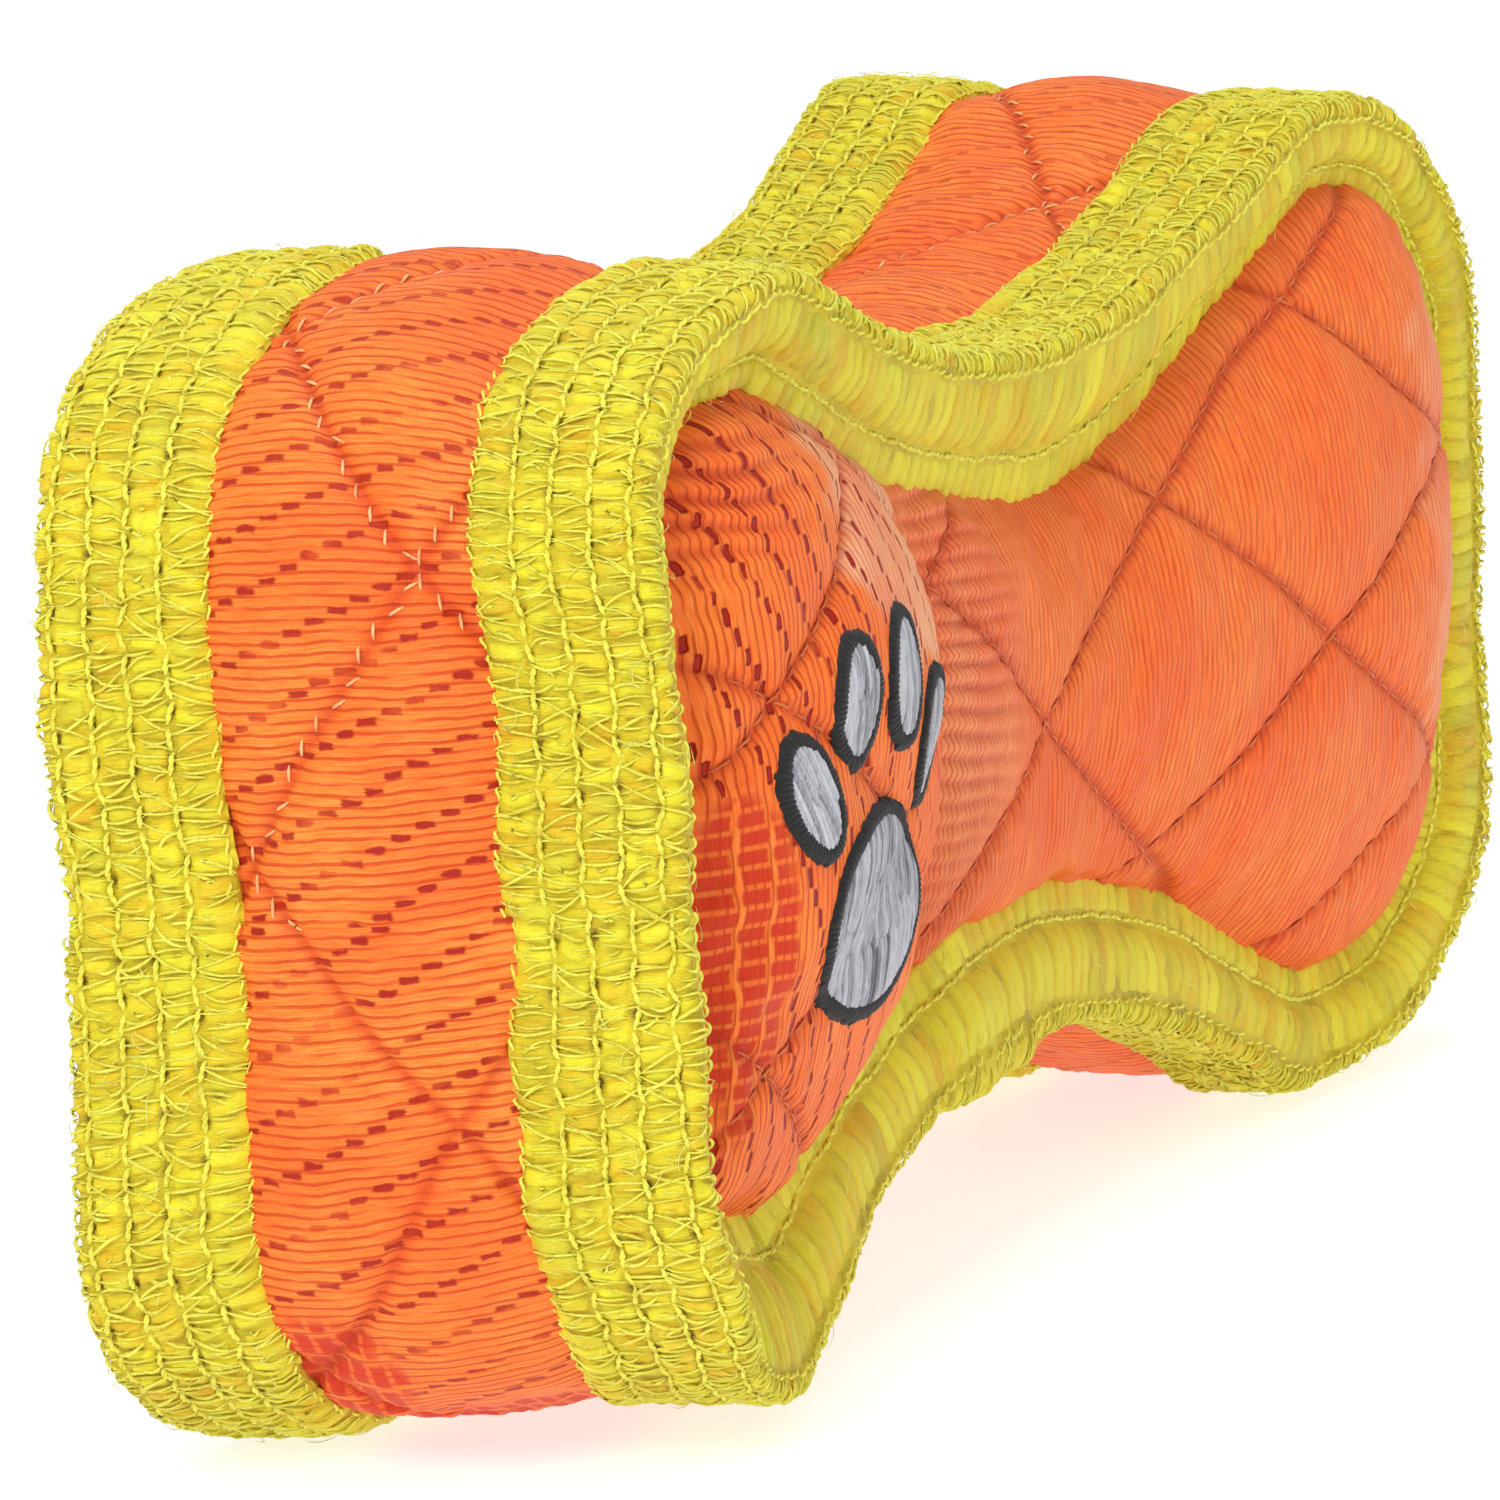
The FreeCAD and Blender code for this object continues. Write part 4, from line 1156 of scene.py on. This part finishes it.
def gusset_stitches():
    tree = surface_tree(gusset_points, gusset_faces)
    box = ((0, -11.8), (AROUND, 11.8))
    starts, ways = quilt_segments(box, GUSSET_A, GUSSET_NODE, GUSSET_STITCH, GUSSET_GAP)
    starts[:, 0] -= line_shift(*starts.T)
    turned = np.random.default_rng(33).choice([-GUSSET_SLANT, GUSSET_SLANT], len(ways))
    cos, sin = np.cos(turned), np.sin(turned)
    way = joined(ways[:, 0] * cos - ways[:, 1] * sin, ways[:, 0] * sin + ways[:, 1] * cos)
    places = starts[:, None] + way[:, None] * STITCH_SHARE[None, :, None] * GUSSET_THREAD
    s, y = np.moveaxis(places, -1, 0)
    lift = -0.1 + 0.3 * np.sin(math.pi * STITCH_SHARE) ** 0.6
    paths = on_ring(s, y, ring_cast(tree, s, y) - lift)
    return thread_piece("gusset_quilt_stitches", paths, 0.17, QUILT_THREAD, 5, seed=34)


settle(gusset_stitches(), "seam_thread")
for side, face, seed in ((-1, "front", 35), (1, "back", 36)):
    settle(face_stitches(side, face, seed), "seam_thread")

# ---------------------------------------------------------------- embroidered badge

BADGE_X, BADGE_Z = -66.0, 0.0
BORDER = 1.7
SATIN_PITCH = 0.62
SATIN_LONGEST = 6.5
BORDER_PITCH = 0.55
# middle in x and z, half width, half height, lean in degrees
PADS = {
    "heel": (0.0, -9.0, 14.0, 10.5, 0.0),
    "toe_1": (-16.0, 5.0, 4.8, 7.0, -24.0),
    "toe_2": (-6.0, 12.5, 4.8, 7.0, -6.0),
    "toe_3": (6.0, 12.5, 4.8, 7.0, 6.0),
    "toe_4": (16.0, 5.0, 4.8, 7.0, 24.0),
}


def smooth_reach(tree, x, z):
    """The face's height under the badge, evened out as the backing does."""
    around = [(0, 0), (1.6, 0), (-1.6, 0), (0, 1.6), (0, -1.6)]
    return sum(reach_at(tree, -1, x + dx, z + dz) for dx, dz in around) / len(around)


def badge_points(pad, tree, x, z, height):
    """Points above the face, from a pad's own axes."""
    cx, cz, _, _, lean = PADS[pad]
    turn = -math.radians(lean)
    px = BADGE_X + cx + x * math.cos(turn) - z * math.sin(turn)
    pz = BADGE_Z + cz + x * math.sin(turn) + z * math.cos(turn)
    return joined(px, -(smooth_reach(tree, px, pz) + height), pz).reshape(-1, 3)


def badge_fill(pad, tree, seed):
    """Satin stitches laid side by side along the pad's height."""
    rng = np.random.default_rng(seed)
    half_width, half_height = (half - BORDER * 0.8 for half in PADS[pad][2:4])
    wide, long = 5, 13
    a, b = np.linspace(-1, 1, wide)[:, None], np.linspace(-1, 1, long)[None]
    pieces, shades_and_tones = [], []
    for x in np.arange(-half_width + 0.3, half_width - 0.2, SATIN_PITCH):
        span = half_height * np.sqrt(1 - (x / half_width) ** 2)
        breaks = max(1, round(2 * span / SATIN_LONGEST))
        uneven = np.concatenate([[0], rng.normal(0, 0.6, breaks - 1), [0]])
        edges = np.linspace(-span, span, breaks + 1) + uneven
        for low, high in zip(edges[:-1], edges[1:]):
            middle, half = (low + high) / 2, (high - low) / 2 + 0.25
            lx = x + a * SATIN_PITCH * 0.62 + rng.normal(0, 0.04) + 0.12 * b * rng.normal()
            crown = 0.85 * clip01(1 - (x / (half_width + 1)) ** 2) ** 0.5
            ridge = 0.42 * np.sqrt(clip01(1 - a ** 2)) * clip01(1 - b ** 6)
            height = crown * 0.35 + ridge + 0.1
            pieces.append(badge_points(pad, tree, lx, middle + half * b + 0 * a, height))
            # Painted highlight: each stitch is lighter along its middle, on a tone that differs at
            # random.
            shades_and_tones.append(np.ravel(rng.normal(0.55, 0.26) + 0.25 * (1 - a ** 2) + 0 * b))
    faces = many(len(pieces), wide * long, grid_faces(wide, long)[0])
    points = np.concatenate(pieces)
    uv, layers = points[:, [0, 2]][faces.ravel()], {"shade_and_tone": np.concatenate(shades_and_tones)}
    return add_mesh(f"badge_{pad}_satin", points, faces, SATIN, uv, layers)


def badge_border(pad, tree, seed):
    """A close satin cord round a pad: short stitches across it, side by side."""
    rng = np.random.default_rng(seed)
    half_width, half_height = (half - BORDER / 2 for half in PADS[pad][2:4])
    turn = np.linspace(0, 2 * math.pi, 4000)
    lengths = running_length(joined(half_width * np.cos(turn), half_height * np.sin(turn)))
    stitches = round(lengths[-1] / BORDER_PITCH)
    per, wide = 5, 9
    count = stitches * per
    at = np.interp(np.arange(count) * lengths[-1] / count, lengths, turn)[:, None]
    nx, nz = np.cos(at) / half_width, np.sin(at) / half_height
    size = np.hypot(nx, nz)
    across = np.linspace(-1, 1, wide)[None]
    ridge = np.sin(math.pi * (np.arange(count) % per + 0.5) / per)[:, None]
    out = BORDER * 0.62 * (1 + np.repeat(rng.normal(0, 0.11, stitches), per)[:, None]) * across
    lx, lz = half_width * np.cos(at) + nx / size * out, half_height * np.sin(at) + nz / size * out
    height = (0.72 + 0.16 * ridge) * np.sqrt(clip01(1 - across ** 2)) - 0.12
    points = badge_points(pad, tree, lx, lz, height)
    faces, row, column = grid_faces(count, wide, wrap_rows=True)
    # Painted light and shade: each stitch is lighter on its ridge and darker at its ends and sides.
    shade_and_tone, uv = 0.2 + 0.6 * ridge * (1 - across ** 2), joined(row * 0.11, column * 0.3)
    return add_mesh(f"badge_{pad}_border_stitches", points, faces, OUTLINE, uv, {"shade_and_tone": shade_and_tone})


badge_tree = surface_tree(*surfaces["front"])
for index, pad in enumerate(PADS):
    settle(badge_fill(pad, badge_tree, 51 + index), "badge_satin", f"badge_{pad}_fill")
    settle(badge_border(pad, badge_tree, 61 + index), "badge_outline", f"badge_{pad}_border")

# ---------------------------------------------------------------- inside

LINING_THICK = 1.1
LINING_INSET = 0.985
GUSSET_LINING_REACH = 14.0
STUFFING_INSET = 3.4


def soft_shell(name, outer, inner, wrap):
    """A thin closed layer of lining between two like grids of points."""
    rows, columns = outer.shape[:2]
    faces, _, _ = grid_faces(rows, columns, wrap_rows=wrap)
    grid = np.arange(rows * columns).reshape(rows, columns)
    edges = [grid[:, 0], grid[::-1, -1]] if wrap else [
        np.concatenate([grid[:, 0], grid[-1, 1:], grid[-2::-1, -1], grid[0, -2:0:-1]]),
    ]
    count = grid.size
    all_faces = [faces, faces[:, ::-1] + count]
    for edge in edges:
        following = np.roll(edge, -1)
        all_faces.append(joined(edge + count, following + count, following, edge))
    points = np.concatenate([outer.reshape(-1, 3), inner.reshape(-1, 3)])
    return add_mesh(name, points, outward(points, np.concatenate(all_faces)), LINING)


def face_lining(side, name):
    x, z = face_grid()
    reach = face_reach(x, z) - 2.5 + 0.25 * wobble(x, z, 9.0, 81)
    x, z = x * LINING_INSET, z * LINING_INSET
    inner = joined(x, side * (reach - LINING_THICK), z)
    return soft_shell(name, joined(x, side * reach, z), inner, False)


def gusset_lining(name):
    count, across = GUSSET_GRID
    s = ring_places(count)[:, None]
    y = np.linspace(-GUSSET_LINING_REACH, GUSSET_LINING_REACH, across)[None]
    depth = gusset_depth(s, y) + CLOTH_UNDER + 0.2 * wobble(s, y, 9.0, 83)
    return soft_shell(name, on_ring(s, y, depth), on_ring(s, y, depth + LINING_THICK), True)


def shrunk_copy(name, node, inwards, material, seed):
    """A soft inner piece: the CAD surface drawn in and made uneven."""
    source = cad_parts[node].data.copy()
    source.name = name
    co = read(source.vertices, "co", 3) / MM - (0, 0, MIDDLE_Z)
    x, y, z = co.T
    give = 3.0 * bell((x + 20) / 30) + 0.5 * wobble(x, z + y, 11.0, seed)
    moved = co - np.sign(co) * (0, 1, 0) * (inwards + give[:, None] * min(inwards, 1.0))
    moved = moved * (1 - inwards / HALF_LENGTH, 1, 1 - inwards / HALF_HEIGHT)
    write(source.vertices, "co", soften(moved))
    source.materials.clear()
    source.materials.append(material)
    source.update()
    return add_object(name, source)


settle(face_lining(-1, "front_face_lining"), "lining_cloth", "front_panel_lining")
settle(face_lining(1, "back_face_lining"), "lining_cloth", "back_panel_lining")
settle(gusset_lining("gusset_inner_lining"), "lining_cloth", "gusset_lining")
stuffing = shrunk_copy("fibre_stuffing", "filling", STUFFING_INSET, STUFFING, 84)
settle(stuffing, "stuffing", "filling")

pouch = shrunk_copy("squeaker_cloth_pouch", "squeaker_pouch", 0.0, POUCH, 85)
settle(pouch, "pouch_cloth", "squeaker_pouch")
for node, material in (
    ("squeaker_bulb", moulded("squeaker_plastic", (238, 240, 242), (214, 218, 222), 0.35)),
    ("squeaker_reed_holder", moulded("reed_holder_plastic", (226, 230, 236), (198, 204, 210), 0.3)),
    ("squeaker_reed", moulded("reed_film", (214, 206, 180), (190, 180, 150), 0.25)),
):
    cad_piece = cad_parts[node]
    cad_piece.data.materials.clear()
    cad_piece.data.materials.append(material)

# ---------------------------------------------------------------- stage, light and camera

WHITE = (1.0, 1.0, 1.0, 1.0)
WORLD_LIGHT = 0.52
FLOOR_GLOW = 0.66
FLOOR_HALF = 9.0


def floor_material():
    n = Nodes("studio_floor")
    grain = n.cloud(n.place(), 40.0, 2.0)
    n.shader.inputs["Emission Color"].default_value = WHITE
    return n.finish(
        n.mix(grain, (196, 196, 196), (204, 204, 204)), 0.9, n.bump(grain, 0.0002, 0.2),
        Emission_Strength=FLOOR_GLOW,
    )


floor_points = np.array([(-1, -1, 0), (1, -1, 0), (1, 1, 0), (-1, 1, 0)]) * FLOOR_HALF
floor_face = np.array([[0, 1, 2, 3]])
floor = add_mesh("studio_floor", floor_points, floor_face, floor_material(), raw=True)

world = bpy.data.worlds.new("studio")
bpy.context.scene.world = world
world.use_nodes = True
background = world.node_tree.nodes["Background"]
background.inputs[0].default_value = WHITE
background.inputs[1].default_value = WORLD_LIGHT

target = Vector((0.0, 0.0, (MIDDLE_Z + LIFT) * MM))


def direction(azimuth, elevation):
    a, e = math.radians(azimuth), math.radians(elevation)
    return Vector((math.sin(a) * math.cos(e), -math.cos(a) * math.cos(e), math.sin(e)))


def softbox(name, azimuth, elevation, distance, width, power):
    lamp = bpy.data.lights.new(name, "AREA")
    lamp.shape = "SQUARE"
    lamp.size = width
    lamp.energy = power
    holder = add_object(name, lamp)
    holder.location = target + direction(azimuth, elevation) * distance
    holder.rotation_euler = direction(azimuth, elevation).to_track_quat("Z", "Y").to_euler()


softbox("key_softbox", -88, 34, 1.0, 0.5, 4.9)
softbox("fill_softbox", -20, 34, 1.2, 0.8, 1.3)
softbox("top_softbox", 40, 82, 1.2, 0.6, 4.2)

# The photo's camera: angles in degrees, distance in metres, focal length and principal point
# in pixels of the 1500 pixel frame.
AZIMUTH, ELEVATION, ROLL = -64.59, 9.54, -4.14
DISTANCE, FOCAL, PRINCIPAL = 0.9307, 9019.0, (832.4, 701.8)
IMAGE = 1500.0
SENSOR = 36.0

back = direction(AZIMUTH, ELEVATION)
right = Vector((math.cos(math.radians(AZIMUTH)), math.sin(math.radians(AZIMUTH)), 0))
up = back.cross(right)
cos, sin = math.cos(math.radians(ROLL)), math.sin(math.radians(ROLL))
right, up = right * cos + up * sin, up * cos - right * sin
camera_data = bpy.data.cameras.new("camera")
camera_data.sensor_width = SENSOR
camera_data.lens = FOCAL / IMAGE * SENSOR
camera_data.clip_start, camera_data.clip_end = 0.05, 50.0
camera = add_object("camera", camera_data)
off_x, off_y = ((IMAGE / 2 - place) / FOCAL for place in PRINCIPAL)
away = -(-back + right * off_x - up * off_y).normalized()
side_way = (right - away * right.dot(away)).normalized()
axes = Matrix((side_way, away.cross(side_way), away)).transposed().to_4x4()
camera.matrix_world = Matrix.Translation(target + back * DISTANCE) @ axes
bpy.context.scene.camera = camera
bpy.context.scene.view_settings.view_transform = "Standard"
